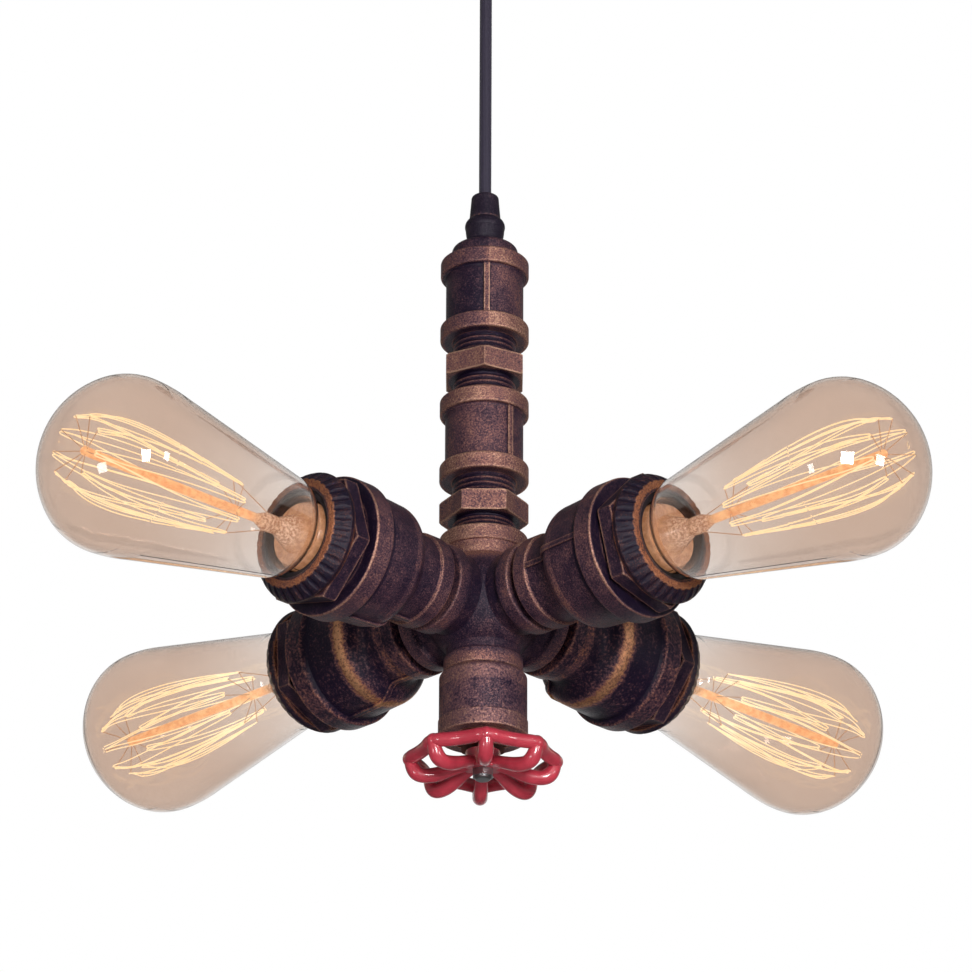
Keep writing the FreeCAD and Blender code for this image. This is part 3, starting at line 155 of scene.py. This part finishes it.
cord_curve = bpy.data.curves.new("pendant_cord_sleeve", "CURVE")
cord_curve.dimensions = "3D"
line = cord_curve.splines.new("NURBS")
line.points.add(len(cord_route) - 1)
for spot, point in zip(line.points, cord_route):
    spot.co = (*point, 1)
line.order_u = 3
line.use_endpoint_u = True
line.resolution_u = 24
cord_curve.bevel_depth = cord_diameter / 2
cord_curve.bevel_resolution = 8
cord_curve.use_fill_caps = True
cord_piece = bpy.data.objects.new("pendant_cord_sleeve", cord_curve)
bpy.context.scene.collection.objects.link(cord_piece)

woven_black, tree, shader = new_material("woven_cord")
place = own_place(tree)
strands = maths(tree, "MULTIPLY", maths(tree, "ARCTAN2", place[1], place[0]), strands_round)
climb = maths(tree, "MULTIPLY", place[2], strand_turn_per_metre)
left_lay = maths(tree, "SINE", maths(tree, "ADD", strands, climb))
right_lay = maths(tree, "SINE", maths(tree, "SUBTRACT", strands, climb))
weave = maths(tree, "MULTIPLY", left_lay, right_lay)
fuzzy_weave = maths(tree, "ADD", weave, noise(tree, fuzz_per_metre, 2))
feed(
    tree, shader,
    Base_Color=blend(tree, ramp(tree, fuzzy_weave, -0.4, 1.6), tone(30, 25, 42), tone(60, 52, 74)),
    Roughness=0.62, Sheen_Weight=0.25, Sheen_Roughness=0.4,
    Normal=bump(tree, weave, 0.35, 0.0002),
)
cord_curve.materials.append(woven_black)
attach(cord_piece, "fitting")
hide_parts("pendant_cord")


# The cast fittings of the stem: plug, couplings, hexagon nipples, cross and bottom coupling.
# Malleable iron, sprayed near black and rubbed over with copper, which stays on whatever stands
# proud: bands, ribs, edges and the grain of the casting. The hollows stay dark.
iron_dark = tone(27, 17, 38)
iron_brown = tone(92, 64, 74)
copper = tone(162, 113, 103)
worn_copper = tone(232, 186, 158)
patches_per_metre = 260
clouds_per_metre = 55
edge_width = 0.0012
hollow_depth = 0.004
edge_rounding = 0.0004


def new_group(name, inputs, outputs):
    """A shader node group, with a label and a kind for each socket: its tree, inputs and outputs."""
    group = bpy.data.node_groups.new(name, "ShaderNodeTree")
    for direction, sockets in (("INPUT", inputs), ("OUTPUT", outputs)):
        for label, kind in sockets:
            group.interface.new_socket(label, in_out=direction, socket_type="NodeSocket" + kind)
    given = group.nodes.new("NodeGroupInput").outputs
    return group, given, group.nodes.new("NodeGroupOutput").inputs


def give(group, gives, results):
    """Send each result to the group's output of its name."""
    for label, result in results.items():
        group.links.new(result, gives[label])


def dress(material, *names):
    """Give the named pieces of the frame a finish."""
    for name in names:
        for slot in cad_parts[name].material_slots:
            slot.material = material


# How the finish looks for a given amount of rubbing: from dark, through brown, to copper that is
# dull and then bright. Grain, patches, edges and hollows shift that amount from spot to spot.
rubbed, given, gives = new_group(
    "rubbed_finish",
    [
        ("Rub", "Float"), ("Grain", "Float"), ("Wear", "Float"),
        ("Dark", "Color"), ("Brown", "Color"), ("Copper", "Color"), ("Bright", "Color"),
    ],
    [
        ("Color", "Color"), ("Metallic", "Float"), ("Roughness", "Float"), ("Height", "Float"),
        ("Rounded", "Vector"),
    ],
)
grain = noise(rubbed, given["Grain"], 4, 0.72)
patches = noise(rubbed, patches_per_metre, 3)
clouds = noise(rubbed, clouds_per_metre, 2)
outward = add(
    rubbed, "ShaderNodeAmbientOcclusion", {"Distance": hollow_depth},
    samples=6, only_local=True,
).outputs["AO"]
inward = add(
    rubbed, "ShaderNodeAmbientOcclusion", {"Distance": edge_width},
    samples=6, only_local=True, inside=True,
).outputs["AO"]
rounded = add(rubbed, "ShaderNodeBevel", {"Radius": edge_rounding}, samples=4).outputs[0]
amount = given["Rub"]
for part, share in (
    (maths(rubbed, "SUBTRACT", grain, 0.5), 2.6),
    (maths(rubbed, "SUBTRACT", patches, 0.5), 0.55),
    (maths(rubbed, "SUBTRACT", clouds, 0.5), 0.8),
    (ramp(rubbed, inward, 0.88, 0.55), given["Wear"]),
    (ramp(rubbed, outward, 0.9, 0.4), -0.45),
):
    amount = maths(rubbed, "ADD", amount, maths(rubbed, "MULTIPLY", part, share))
colour = blend(rubbed, ramp(rubbed, amount, 0.0, 0.58), given["Dark"], given["Brown"])
colour = blend(rubbed, ramp(rubbed, amount, 0.42, 0.82), colour, given["Copper"])
colour = blend(rubbed, ramp(rubbed, amount, 0.8, 1.25), colour, given["Bright"])
dullness = ramp(rubbed, amount, 0.1, 0.9, 0.27, 0.44)
give(rubbed, gives, {
    "Color": colour,
    "Metallic": ramp(rubbed, amount, 0.3, 0.9, 0.15, 0.85),
    "Roughness": maths(rubbed, "ADD", dullness, maths(rubbed, "MULTIPLY", patches, 0.1)),
    "Height": maths(rubbed, "ADD", grain, maths(rubbed, "MULTIPLY", patches, 0.6)),
    "Rounded": rounded,
})

# Where a point is: its radius round the stem, its height above the arms, its side, which is how far
# it is to the right, its reach out along its own arm, and its girth, the radius round that arm.
places, given, gives = new_group(
    "places_on_the_light", [],
    [(label, "Float") for label in ("Radius", "Height", "Reach", "Girth", "Side")],
)
place = own_place(places)
sideways = maths(places, "ABSOLUTE", place[0])
away = maths(places, "ABSOLUTE", place[1])
height = maths(places, "SUBTRACT", place[2], arm_level)
off_arm = maths(places, "SUBTRACT", sideways, away)
sideways_square, away_square, height_square, off_arm_square = (
    maths(places, "MULTIPLY", value, value) for value in (sideways, away, height, off_arm)
)
off_arm_square = maths(places, "MULTIPLY", off_arm_square, 0.5)
give(places, gives, {
    "Radius": maths(places, "SQRT", maths(places, "ADD", sideways_square, away_square)),
    "Height": height,
    "Reach": maths(places, "MULTIPLY", maths(places, "ADD", sideways, away), math.sqrt(0.5)),
    "Girth": maths(places, "SQRT", maths(places, "ADD", off_arm_square, height_square)),
    "Side": place[0],
})


def rubbed_iron(
    name, rub, bands, grain=1700.0, soft=0.0004, wear=0.6,
    metal=copper, bright=worn_copper, dark=iron_dark, brown=iron_brown,
):
    """The rubbed finish. A band gives what is measured, from where, to where, and how much more rub."""
    material, tree, shader = new_material(name)
    where = add(tree, "ShaderNodeGroup", node_tree=places).outputs
    for measure, start, end, more in bands:
        past_start = ramp(tree, where[measure], start - soft, start + soft)
        before_end = ramp(tree, where[measure], end + soft, end - soft)
        within = maths(tree, "MULTIPLY", past_start, before_end)
        rub = maths(tree, "ADD", rub, maths(tree, "MULTIPLY", within, more))
    feeds = {
        "Rub": rub, "Grain": grain, "Wear": wear,
        "Dark": dark, "Brown": brown, "Copper": metal, "Bright": bright,
    }
    finish = add(tree, "ShaderNodeGroup", feeds, node_tree=rubbed).outputs
    feed(
        tree, shader,
        Base_Color=finish["Color"], Metallic=finish["Metallic"], Roughness=finish["Roughness"],
        Specular_IOR_Level=0.3,
        Normal=bump(tree, finish["Height"], 0.75, 0.0004, finish["Rounded"]),
    )
    return material


far = 1.0
coupling_body_radius = 0.0150
coupling_band_radius = 0.0158
top_band_start = 0.1335
top_band_end = 0.1407
# Painted light: the right flank of the upper coupling and the top plug is coloured lighter, where the
# key lamp falls.
lit_right_flank = 0.0015
thread_radius = 0.0132
dress(
    rubbed_iron("rubbed_coupling", 0.16, [
        ("Radius", coupling_body_radius, coupling_band_radius, 0.35),
        ("Radius", coupling_band_radius, far, 0.48),
        ("Side", lit_right_flank, far, 0.24),
        ("Height", top_band_start, top_band_end, -0.2),
    ]),
    "coupling_upper", "top_plug",
)
dress(
    rubbed_iron("rubbed_coupling_below", 0.4, [
        ("Radius", coupling_body_radius, coupling_band_radius, 0.2),
        ("Radius", coupling_band_radius, far, 0.4),
    ]),
    "coupling_lower",
)
dress(
    rubbed_iron("rubbed_hexagon", 0.12, [("Radius", thread_radius, far, 0.52)]),
    "hex_nipple_upper", "hex_nipple_lower",
)

cross_upper_band = 0.0130
cross_lower_band = -0.0225
cross_side_mouth = 0.0240
dress(
    rubbed_iron("rubbed_cross", 0.17, [
        ("Height", cross_upper_band, far, 0.6),
        ("Height", -far, cross_lower_band, 0.45),
        ("Reach", cross_side_mouth, far, 0.25),
    ], soft=0.002),
    "cross_body",
)

bottom_shoulder = -0.034
bottom_lip = -0.0457
dress(
    rubbed_iron("rubbed_bottom", 0.38, [
        ("Height", -far, bottom_lip, 0.28),
        ("Height", bottom_shoulder, far, 0.25),
    ], grain=1300.0, metal=tone(152, 110, 106)),
    "bottom_coupling",
)
dress(rubbed_iron("dark_thread", 0.05, []), "close_nipples")


# The arms: reducing sockets, hexagon bushes and clamp rings.
# The same rubbed casting, left darker, with bright lines at the edges of the bands, partly where
# they have been handled and partly painted highlight. The flat front face of each clamp ring is
# coloured a lighter orange brown.

# Each arm has its direction in degrees round the stem, and each band its limits in metres.
arm_directions = {"front_left": 225, "front_right": 315, "back_right": 45, "back_left": 135}
# The narrow bands at each band's edges are bright lines: partly worn edges, partly painted highlight.
band_at_cross = [
    ("Reach", 0.0317, 0.0324, 0.4),
    ("Reach", 0.0324, 0.0376, 0.18),
    ("Reach", 0.0376, 0.0384, 0.5),
]
# Painted shade in the groove before the band at the mouth.
shade_before_mouth_band = [("Reach", 0.0682, 0.0704, -0.3)]
band_at_mouth = [
    ("Reach", 0.0706, 0.0714, 0.4),
    ("Reach", 0.0714, 0.0784, 0.16),
    ("Reach", 0.0784, 0.0792, 0.6),
]
# Painted shade on the face of the mouth, in the gap under the hexagon bush.
shaded_mouth_face = [("Reach", 0.0793, far, -0.7)]
socket_bands = band_at_cross + shade_before_mouth_band + band_at_mouth + shaded_mouth_face
front_shoulder = [("Reach", 0.0535, 0.0565, 0.22)]
# A painted highlight along the crest of the bell's shoulder on the back sockets.
back_shoulder_highlight = [
    ("Reach", 0.0524, 0.0560, 0.62),
    ("Reach", 0.0512, 0.0578, 0.4),
]
back_neck = [("Reach", 0.0384, 0.0425, 0.35)]
bush_hexagon = ("Reach", 0.0814, 0.0877, 0.08)
# The ring's front face is coloured a lighter orange brown.
ring_face = ("Reach", 0.0950, far, 0.72)
ring_mouth = ("Girth", 0.0, 0.0176, -0.7)
# A bright line on the ring's back edge: partly worn, partly painted highlight.
ring_back_edge = ("Reach", 0.0870, 0.0886, 0.35)

dress(
    rubbed_iron("rubbed_socket", 0.22, socket_bands + front_shoulder, soft=0.0002),
    "reducing_socket_front_left", "reducing_socket_front_right",
)
# The back sockets' lighter copper and worn copper are chosen for the painted highlight on the shoulder.
dress(
    rubbed_iron(
        "socket_painted_highlight", 0.06, socket_bands + back_shoulder_highlight + back_neck, grain=1000.0, soft=0.0009,
        metal=tone(186, 126, 100), bright=tone(246, 184, 138), brown=tone(104, 70, 76),
    ),
    "reducing_socket_back_left", "reducing_socket_back_right",
)
bush_finish = rubbed_iron("rubbed_bush", 0.02, [bush_hexagon], wear=0.95)
ring_finish = rubbed_iron(
    "rubbed_ring", 0.0, [ring_face, ring_mouth, ring_back_edge],
    metal=tone(180, 116, 82), bright=tone(214, 156, 118), dark=tone(26, 20, 38), brown=tone(92, 58, 56),
)
for arm in arm_directions:
    dress(bush_finish, "hex_bush_" + arm)
    dress(ring_finish, "clamp_ring_" + arm)


# The cord grip, the canopy's gland and the lampholders.
# Turned and moulded parts in satin black: the grip is enamelled metal with a little copper
# caught on it, the gland and the holders are plain moulded plastic.
moulded_clouds_per_metre = 160
moulded_grain_per_metre = 1500

moulded, given, gives = new_group(
    "moulded_finish",
    [("Dark", "Color"), ("Light", "Color"), ("Smooth", "Float"), ("Rough", "Float")],
    [("Color", "Color"), ("Roughness", "Float"), ("Height", "Float")],
)
clouds = noise(moulded, moulded_clouds_per_metre, 4)
give(moulded, gives, {
    "Color": blend(moulded, clouds, given["Dark"], given["Light"]),
    "Roughness": ramp(moulded, clouds, 0.2, 0.8, given["Smooth"], given["Rough"]),
    "Height": noise(moulded, moulded_grain_per_metre, 3),
})


def darker(colour, share):
    """The same colour, reflecting only this share of the light."""
    return [part * share for part in colour[:3]] + [1]


def moulded_plastic(name, colour, roughness):
    """Plastic as it comes from the mould, faintly clouded, with a fine grain."""
    material, tree, shader = new_material(name)
    feeds = {
        "Dark": darker(colour, 0.7), "Light": colour,
        "Smooth": roughness - 0.08, "Rough": roughness + 0.08,
    }
    finish = add(tree, "ShaderNodeGroup", feeds, node_tree=moulded).outputs
    feed(
        tree, shader,
        Base_Color=finish["Color"], Roughness=finish["Roughness"], Specular_IOR_Level=0.3,
        Normal=bump(tree, finish["Height"], 0.12, 0.0002),
    )
    return material


grip_enamel = rubbed_iron(
    "rubbed_grip", 0.12, [], dark=tone(30, 22, 38), brown=tone(62, 50, 64), metal=tone(120, 88, 90),
)
dress(grip_enamel, "cord_grip_cap", "cord_grip_base")
holder_bodies = [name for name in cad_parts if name.startswith("holder_body")]
dress(moulded_plastic("moulded_black", tone(34, 28, 36), 0.45), "canopy_gland", *holder_bodies)


# The canopy.
# A pressed steel cup painted in the same aged copper, screwed up to a zinc plated bracket.
# A terminal block in pale plastic joins the cord to the supply.
turning_marks_per_metre = 400

turned, given, gives = new_group(
    "turned_finish",
    [("Dark", "Color"), ("Light", "Color"), ("Smooth", "Float"), ("Rough", "Float")],
    [("Color", "Color"), ("Roughness", "Float"), ("Height", "Float")],
)
marks = noise(turned, turning_marks_per_metre, 5, 0.7)
give(turned, gives, {
    "Color": blend(turned, marks, given["Dark"], given["Light"]),
    "Roughness": ramp(turned, marks, 0.25, 0.75, given["Smooth"], given["Rough"]),
    "Height": marks,
})


def turned_metal(name, colour, roughness):
    """Bare or plated metal with fine turning marks."""
    material, tree, shader = new_material(name)
    feeds = {
        "Dark": darker(colour, 0.75), "Light": colour,
        "Smooth": roughness - 0.08, "Rough": roughness + 0.1,
    }
    finish = add(tree, "ShaderNodeGroup", feeds, node_tree=turned).outputs
    feed(
        tree, shader,
        Base_Color=finish["Color"], Metallic=1.0, Roughness=finish["Roughness"],
        Normal=bump(tree, finish["Height"], 0.1, 0.0001),
    )
    return material


zinc_plate = turned_metal("zinc_plated_steel", tone(190, 190, 192), 0.35)
brass = turned_metal("brass", tone(205, 165, 95), 0.3)
dull_bronze = turned_metal("dull_bronze", tone(150, 112, 94), 0.5)
pale_plastic = moulded_plastic("pale_plastic", tone(214, 208, 192), 0.5)
lead_sleeve = moulded_plastic("lead_sleeve", tone(58, 50, 54), 0.5)
dress(rubbed_iron("canopy_paint", 0.34, [], grain=1500.0), "canopy")
dress(zinc_plate, "mounting_bracket", "spindle", "wheel_nut", "canopy_screws")
dress(brass, "canopy_gland_nut", "screw_shells", "centre_contacts")
dress(dull_bronze, "gland_bush")
dress(pale_plastic, "terminal_block", "splice_block")
dress(lead_sleeve, "inner_cable", "lamp_leads")


# The lamps.
# A pear-shaped glass washed with amber lacquer, clearer at its neck, on a plated screw cap. A
# trumpet of brown-tinted glass closes the neck, and its pinch and long rod stand up the middle.
# The rod has a painted glow and the trumpet a faint one, as the wire lights them, and the pinch
# has painted glints.
neck_to_belly = (0.0980, 0.1500)
trumpet_to_pinch = (0.0955, 0.1010)
pinch_to_rod = (0.1120, 0.1190)
crumple_spots = (0.35, 0.65)
crumples_per_metre = 420
streaks_per_metre = 1100

glass, tree, shader = new_material("amber_glass")
reach = add(tree, "ShaderNodeGroup", node_tree=places).outputs["Reach"]
amber = blend(tree, noise(tree, 25, 2), tone(232, 217, 206), tone(222, 205, 193))
feed(
    tree, shader,
    Base_Color=blend(tree, ramp(tree, reach, *neck_to_belly), tone(242, 236, 232), amber),
    Roughness=0.0, IOR=1.45, Transmission_Weight=1.0,
)

stem_glass, tree, shader = new_material("lit_stem")
reach = add(tree, "ShaderNodeGroup", node_tree=places).outputs["Reach"]
crumple = noise(tree, crumples_per_metre, 4, 0.6)
crumpled = ramp(tree, crumple, *crumple_spots)
# The pinch's pale streaks are painted glints.
streaked = ramp(tree, noise(tree, streaks_per_metre, 3, 0.6), 0.4, 0.62)
in_pinch = ramp(tree, reach, *trumpet_to_pinch)
in_rod = ramp(tree, reach, *pinch_to_rod)
trumpet_tan = blend(tree, crumpled, tone(172, 124, 92), tone(208, 164, 126))
pinch_tan = blend(tree, streaked, tone(150, 108, 84), tone(226, 196, 170))
foot_tan = blend(tree, in_pinch, trumpet_tan, pinch_tan)
rod_painted_glow = blend(tree, crumpled, tone(222, 158, 108), tone(246, 204, 152))
# Painted light: the rod's glow and the trumpet's faint glow, as the wire lights them.
feed(
    tree, shader,
    Base_Color=blend(tree, in_rod, foot_tan, tone(190, 140, 98)),
    Roughness=0.22, Coat_Weight=0.6, Coat_Roughness=0.08,
    Emission_Color=blend(tree, in_rod, tone(126, 88, 60), rod_painted_glow), Emission_Strength=1.0,
    Normal=bump(tree, crumple, 0.4, 0.0012),
)
aged_brass = turned_metal("aged_brass", tone(176, 138, 108), 0.4)
for arm in arm_directions:
    dress(glass, "lamp_glass_" + arm)
    dress(stem_glass, "lamp_stem_" + arm)
    dress(aged_brass, "lamp_cap_" + arm)


# The lamps' glowing wires.
# One long carbon wire in each lamp, run to and fro between two rings of fine hooks on the glass
# rod. Its strands bow outwards in the heat, each a little differently.
wire_radius = 0.00021
turns = 2
second_turn_lag = 0.28
second_turn_inset = 0.0012

# A station is a distance along the arm from the stem, and a reach is one from the lamp's axis.
hook_count = 9
hook_radius = 0.00016
near_hooks = 0.1289
far_hooks = 0.1989
near_reach = 0.0105
far_reach = 0.0120
hook_slope = 0.005
hook_bite = 0.0002
brace_foot = 0.1084
brace_foot_reach = 0.0026

# At a hook the wire doubles back, and between hooks it bows out and drifts round to the next one.
wrap_angle = 0.05
wrap_depth = 0.0012
shares_outward = (0.30, 0.62, 0.86)
shares_homeward = (0.14, 0.38, 0.70)
shares_turned = (0.2, 0.5, 0.8)
bow_reach = 0.0160
bow_length = 1.36
bow_fullness = 1.2
bow_change = 0.05
bow_rhythm = 2.4
lean_change = 0.06
lean_rhythm = 3.7
lamp_difference = 1.3

wire_glow, tree, shader = new_material("glowing_wire")
feed(
    tree, shader, Base_Color=tone(60, 50, 40), Roughness=0.5,
    Emission_Color=blend(tree, noise(tree, 150, 2), tone(255, 214, 150), tone(255, 242, 208)),
    Emission_Strength=1.6,
)
# The hooks carry a faint painted glow, as the wire lights them.
lit_hook_metal, tree, shader = new_material("hook_wire")
feed(
    tree, shader,
    Base_Color=blend(tree, noise(tree, 900, 2), tone(170, 136, 108), tone(206, 176, 148)),
    Metallic=0.3, Roughness=0.35, Emission_Color=tone(190, 140, 100), Emission_Strength=0.5,
)


def ring_point(reach, angle, station):
    """A point at a reach and an angle round the lamp's axis, and at a station along it."""
    return Vector((reach * math.cos(angle), reach * math.sin(angle), station))


def strand_points(number, unevenness):
    """The wire from one hook to the next: round the hook, then out in a bow along the cage."""
    step = math.pi / hook_count
    second_turn = number >= 2 * hook_count
    angle = step * (number + second_turn_lag * second_turn)
    swing = bow_change * math.sin(bow_rhythm * number + unevenness)
    bow = bow_reach * (1 + swing) - second_turn_inset * second_turn
    lean = lean_change * math.sin(lean_rhythm * number + 2 * unevenness)
    here, there = (near_reach, near_hooks), (far_reach, far_hooks)
    shares = shares_outward
    onward = wrap_depth
    if number % 2:
        here, there = there, here
        shares = shares_homeward
        onward = -wrap_depth
    points = [
        ring_point(here[0], angle + side * wrap_angle, here[1] + onward * abs(side))
        for side in (-1, 0, 1)
    ]
    for share, turned_share in zip(shares, shares_turned):
        station = here[1] + (there[1] - here[1]) * share
        height = (station - near_hooks) / (far_hooks - near_hooks)
        fullness = math.sin(math.pi * min(1, height / bow_length)) ** bow_fullness
        swell = near_reach + (bow - near_reach) * fullness
        points.append(ring_point(swell, angle + step * turned_share + lean, station))
    return points


def add_spline(curve, points, radius, cyclic=False, material=0):
    """A line of wire through the points: a smooth closed one, or a straight open one."""
    line = curve.splines.new("NURBS" if cyclic else "POLY")
    line.points.add(len(points) - 1)
    for spot, point in zip(line.points, points):
        spot.co = (*point, 1)
        spot.radius = radius / curve.bevel_depth
    if cyclic:
        line.order_u = 3
        line.resolution_u = 5
        line.use_cyclic_u = True
    line.material_index = material


# No two lamps have their wires bowed alike.
for number, (arm, direction) in enumerate(arm_directions.items()):
    curve = bpy.data.curves.new("lamp_wire_" + arm, "CURVE")
    curve.dimensions = "3D"
    curve.bevel_depth = wire_radius
    curve.bevel_resolution = 2
    curve.use_fill_caps = True
    curve.materials.append(wire_glow)
    curve.materials.append(lit_hook_metal)
    route = []
    for strand in range(2 * hook_count * turns):
        route += strand_points(strand, lamp_difference * number)
    add_spline(curve, route, wire_radius, cyclic=True)
    for hook in range(2 * hook_count):
        reach, station = (far_reach, far_hooks) if hook % 2 else (near_reach, near_hooks)
        foot = Vector((0, 0, station - hook_slope))
        tip = ring_point(reach - hook_bite, math.pi * hook / hook_count, station)
        add_spline(curve, [foot, tip], hook_radius, material=1)
    for hook in (0, hook_count - 1):
        angle = math.pi * hook / hook_count
        foot = ring_point(brace_foot_reach, angle, brace_foot)
        tip = ring_point(near_reach - hook_bite, angle, near_hooks)
        add_spline(curve, [foot, tip], hook_radius, material=1)
    curve.transform(
        Matrix.Translation((0, 0, arm_level))
        @ Matrix.Rotation(math.radians(direction), 4, "Z")
        @ Matrix.Rotation(math.pi / 2, 4, "Y")
    )
    wires = bpy.data.objects.new("lamp_wire_" + arm, curve)
    bpy.context.scene.collection.objects.link(wires)
    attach(wires, "lamp_" + arm)
    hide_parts("lamp_filament_" + arm)


# The handwheel.
# Eight spokes and a rim, cast in one piece of iron and dipped in thick glossy red enamel, which
# settles unevenly. The hub sits on the spindle, under a nut.
red_enamel, tree, shader = new_material("red_enamel")
feed(
    tree, shader,
    Base_Color=blend(tree, noise(tree, 180, 4), tone(148, 35, 51), tone(204, 64, 80)),
    Roughness=0.35, Coat_Weight=1.0, Coat_Roughness=0.08,
    Normal=bump(tree, noise(tree, 350, 2), 0.15, 0.0006),
)
dress(red_enamel, "handwheel")


# The room.
# A pale floor far below, soft white light from all round, three soft lamps in front of the light,
# one to the left and two to the right, and a broad one behind it.
floor_level = -1.25
floor_reach = 6
floor_glow = 0.75
white = (1, 1, 1, 1)
pale_grey = (0.84, 0.84, 0.84, 1)
paler_grey = (0.88, 0.88, 0.88, 1)
sight_rise = 24
window_distance = 1.7
windows = (
    {"side": -36, "rise": 8, "size": 0.3, "power": 3},
    {"side": 14, "rise": 18, "size": 0.4, "power": 24},
    {"side": 50, "rise": 22, "size": 0.3, "power": 4},
    {"side": 180, "rise": 30, "size": 0.9, "power": 16},
)

floor_mesh = bpy.data.meshes.new("floor")
shape = bmesh.new()
bmesh.ops.create_grid(shape, x_segments=1, y_segments=1, size=floor_reach)
bmesh.ops.translate(shape, verts=shape.verts, vec=(0, 0, floor_level))
shape.to_mesh(floor_mesh)
shape.free()
floor = bpy.data.objects.new("floor", floor_mesh)
bpy.context.scene.collection.objects.link(floor)
floor.visible_glossy = False

# The floor looks white from above and through glass, and isn't there from below.
pale, tree, shader = new_material("pale_floor")
path = add(tree, "ShaderNodeLightPath").outputs
seen = maths(tree, "MAXIMUM", path["Is Camera Ray"], path["Is Transmission Ray"])
feed(
    tree, shader,
    Base_Color=blend(tree, noise(tree, 3, 2), pale_grey, paler_grey), Roughness=0.8,
    Emission_Color=white, Emission_Strength=maths(tree, "MULTIPLY", seen, floor_glow),
)
see_through = add(tree, "ShaderNodeBsdfTransparent")
from_below = add(tree, "ShaderNodeNewGeometry").outputs["Backfacing"]
both_faces = {0: from_below, 1: shader.outputs[0], 2: see_through.outputs[0]}
mixed = add(tree, "ShaderNodeMixShader", both_faces)
tree.links.new(mixed.outputs[0], tree.nodes["Material Output"].inputs[0])
floor_mesh.materials.append(pale)

# The air all round looks white. Metal mirrors it dimly, more from behind than from in front, and
# less from below than from above.
world = bpy.data.worlds.new("room")
bpy.context.scene.world = world
world.use_nodes = True
tree = world.node_tree
path = add(tree, "ShaderNodeLightPath").outputs
seen = maths(tree, "MAXIMUM", path["Is Camera Ray"], path["Is Transmission Ray"])
bearing = add(tree, "ShaderNodeTexCoord").outputs["Generated"]
way = add(tree, "ShaderNodeSeparateXYZ", {0: bearing}).outputs
from_behind = ramp(tree, way[1], 0.78, 0.98, 0.14, 0.75)
from_above = ramp(tree, way[2], -0.3, 0.1, 0.3, 1.0)
mirrored = maths(tree, "MULTIPLY", from_behind, from_above)
in_glass = maths(tree, "MULTIPLY", maths(tree, "MINIMUM", path["Transmission Depth"], 1), 0.8)
mirrored = maths(tree, "MAXIMUM", mirrored, in_glass)
unseen = ramp(tree, path["Is Glossy Ray"], 0, 1, 0.17, mirrored)
feed(tree, tree.nodes["Background"], Color=white, Strength=ramp(tree, seen, 0, 1, unseen, 1.0))

# Each lamp stands so many degrees to the right of the eye, and so many above the line of sight.
for number, window in enumerate(windows):
    lamp_data = bpy.data.lights.new(f"window_{number}", "AREA")
    lamp_data.size = window["size"]
    lamp_data.energy = window["power"]
    lamp = bpy.data.objects.new(f"window_{number}", lamp_data)
    bpy.context.scene.collection.objects.link(lamp)
    round_stem = Matrix.Rotation(math.radians(window["side"]), 3, "Z")
    below_arms = Matrix.Rotation(math.radians(sight_rise - window["rise"]), 3, "X")
    way = round_stem @ below_arms @ Vector((0, -1, 0))
    lamp.location = Vector((0, 0, arm_level)) + way * window_distance
    lamp.rotation_euler = (-way).to_track_quat("-Z", "Y").to_euler()
    in_front = abs(window["side"]) < 90
    lamp.visible_transmission = in_front
    lamp.visible_glossy = in_front
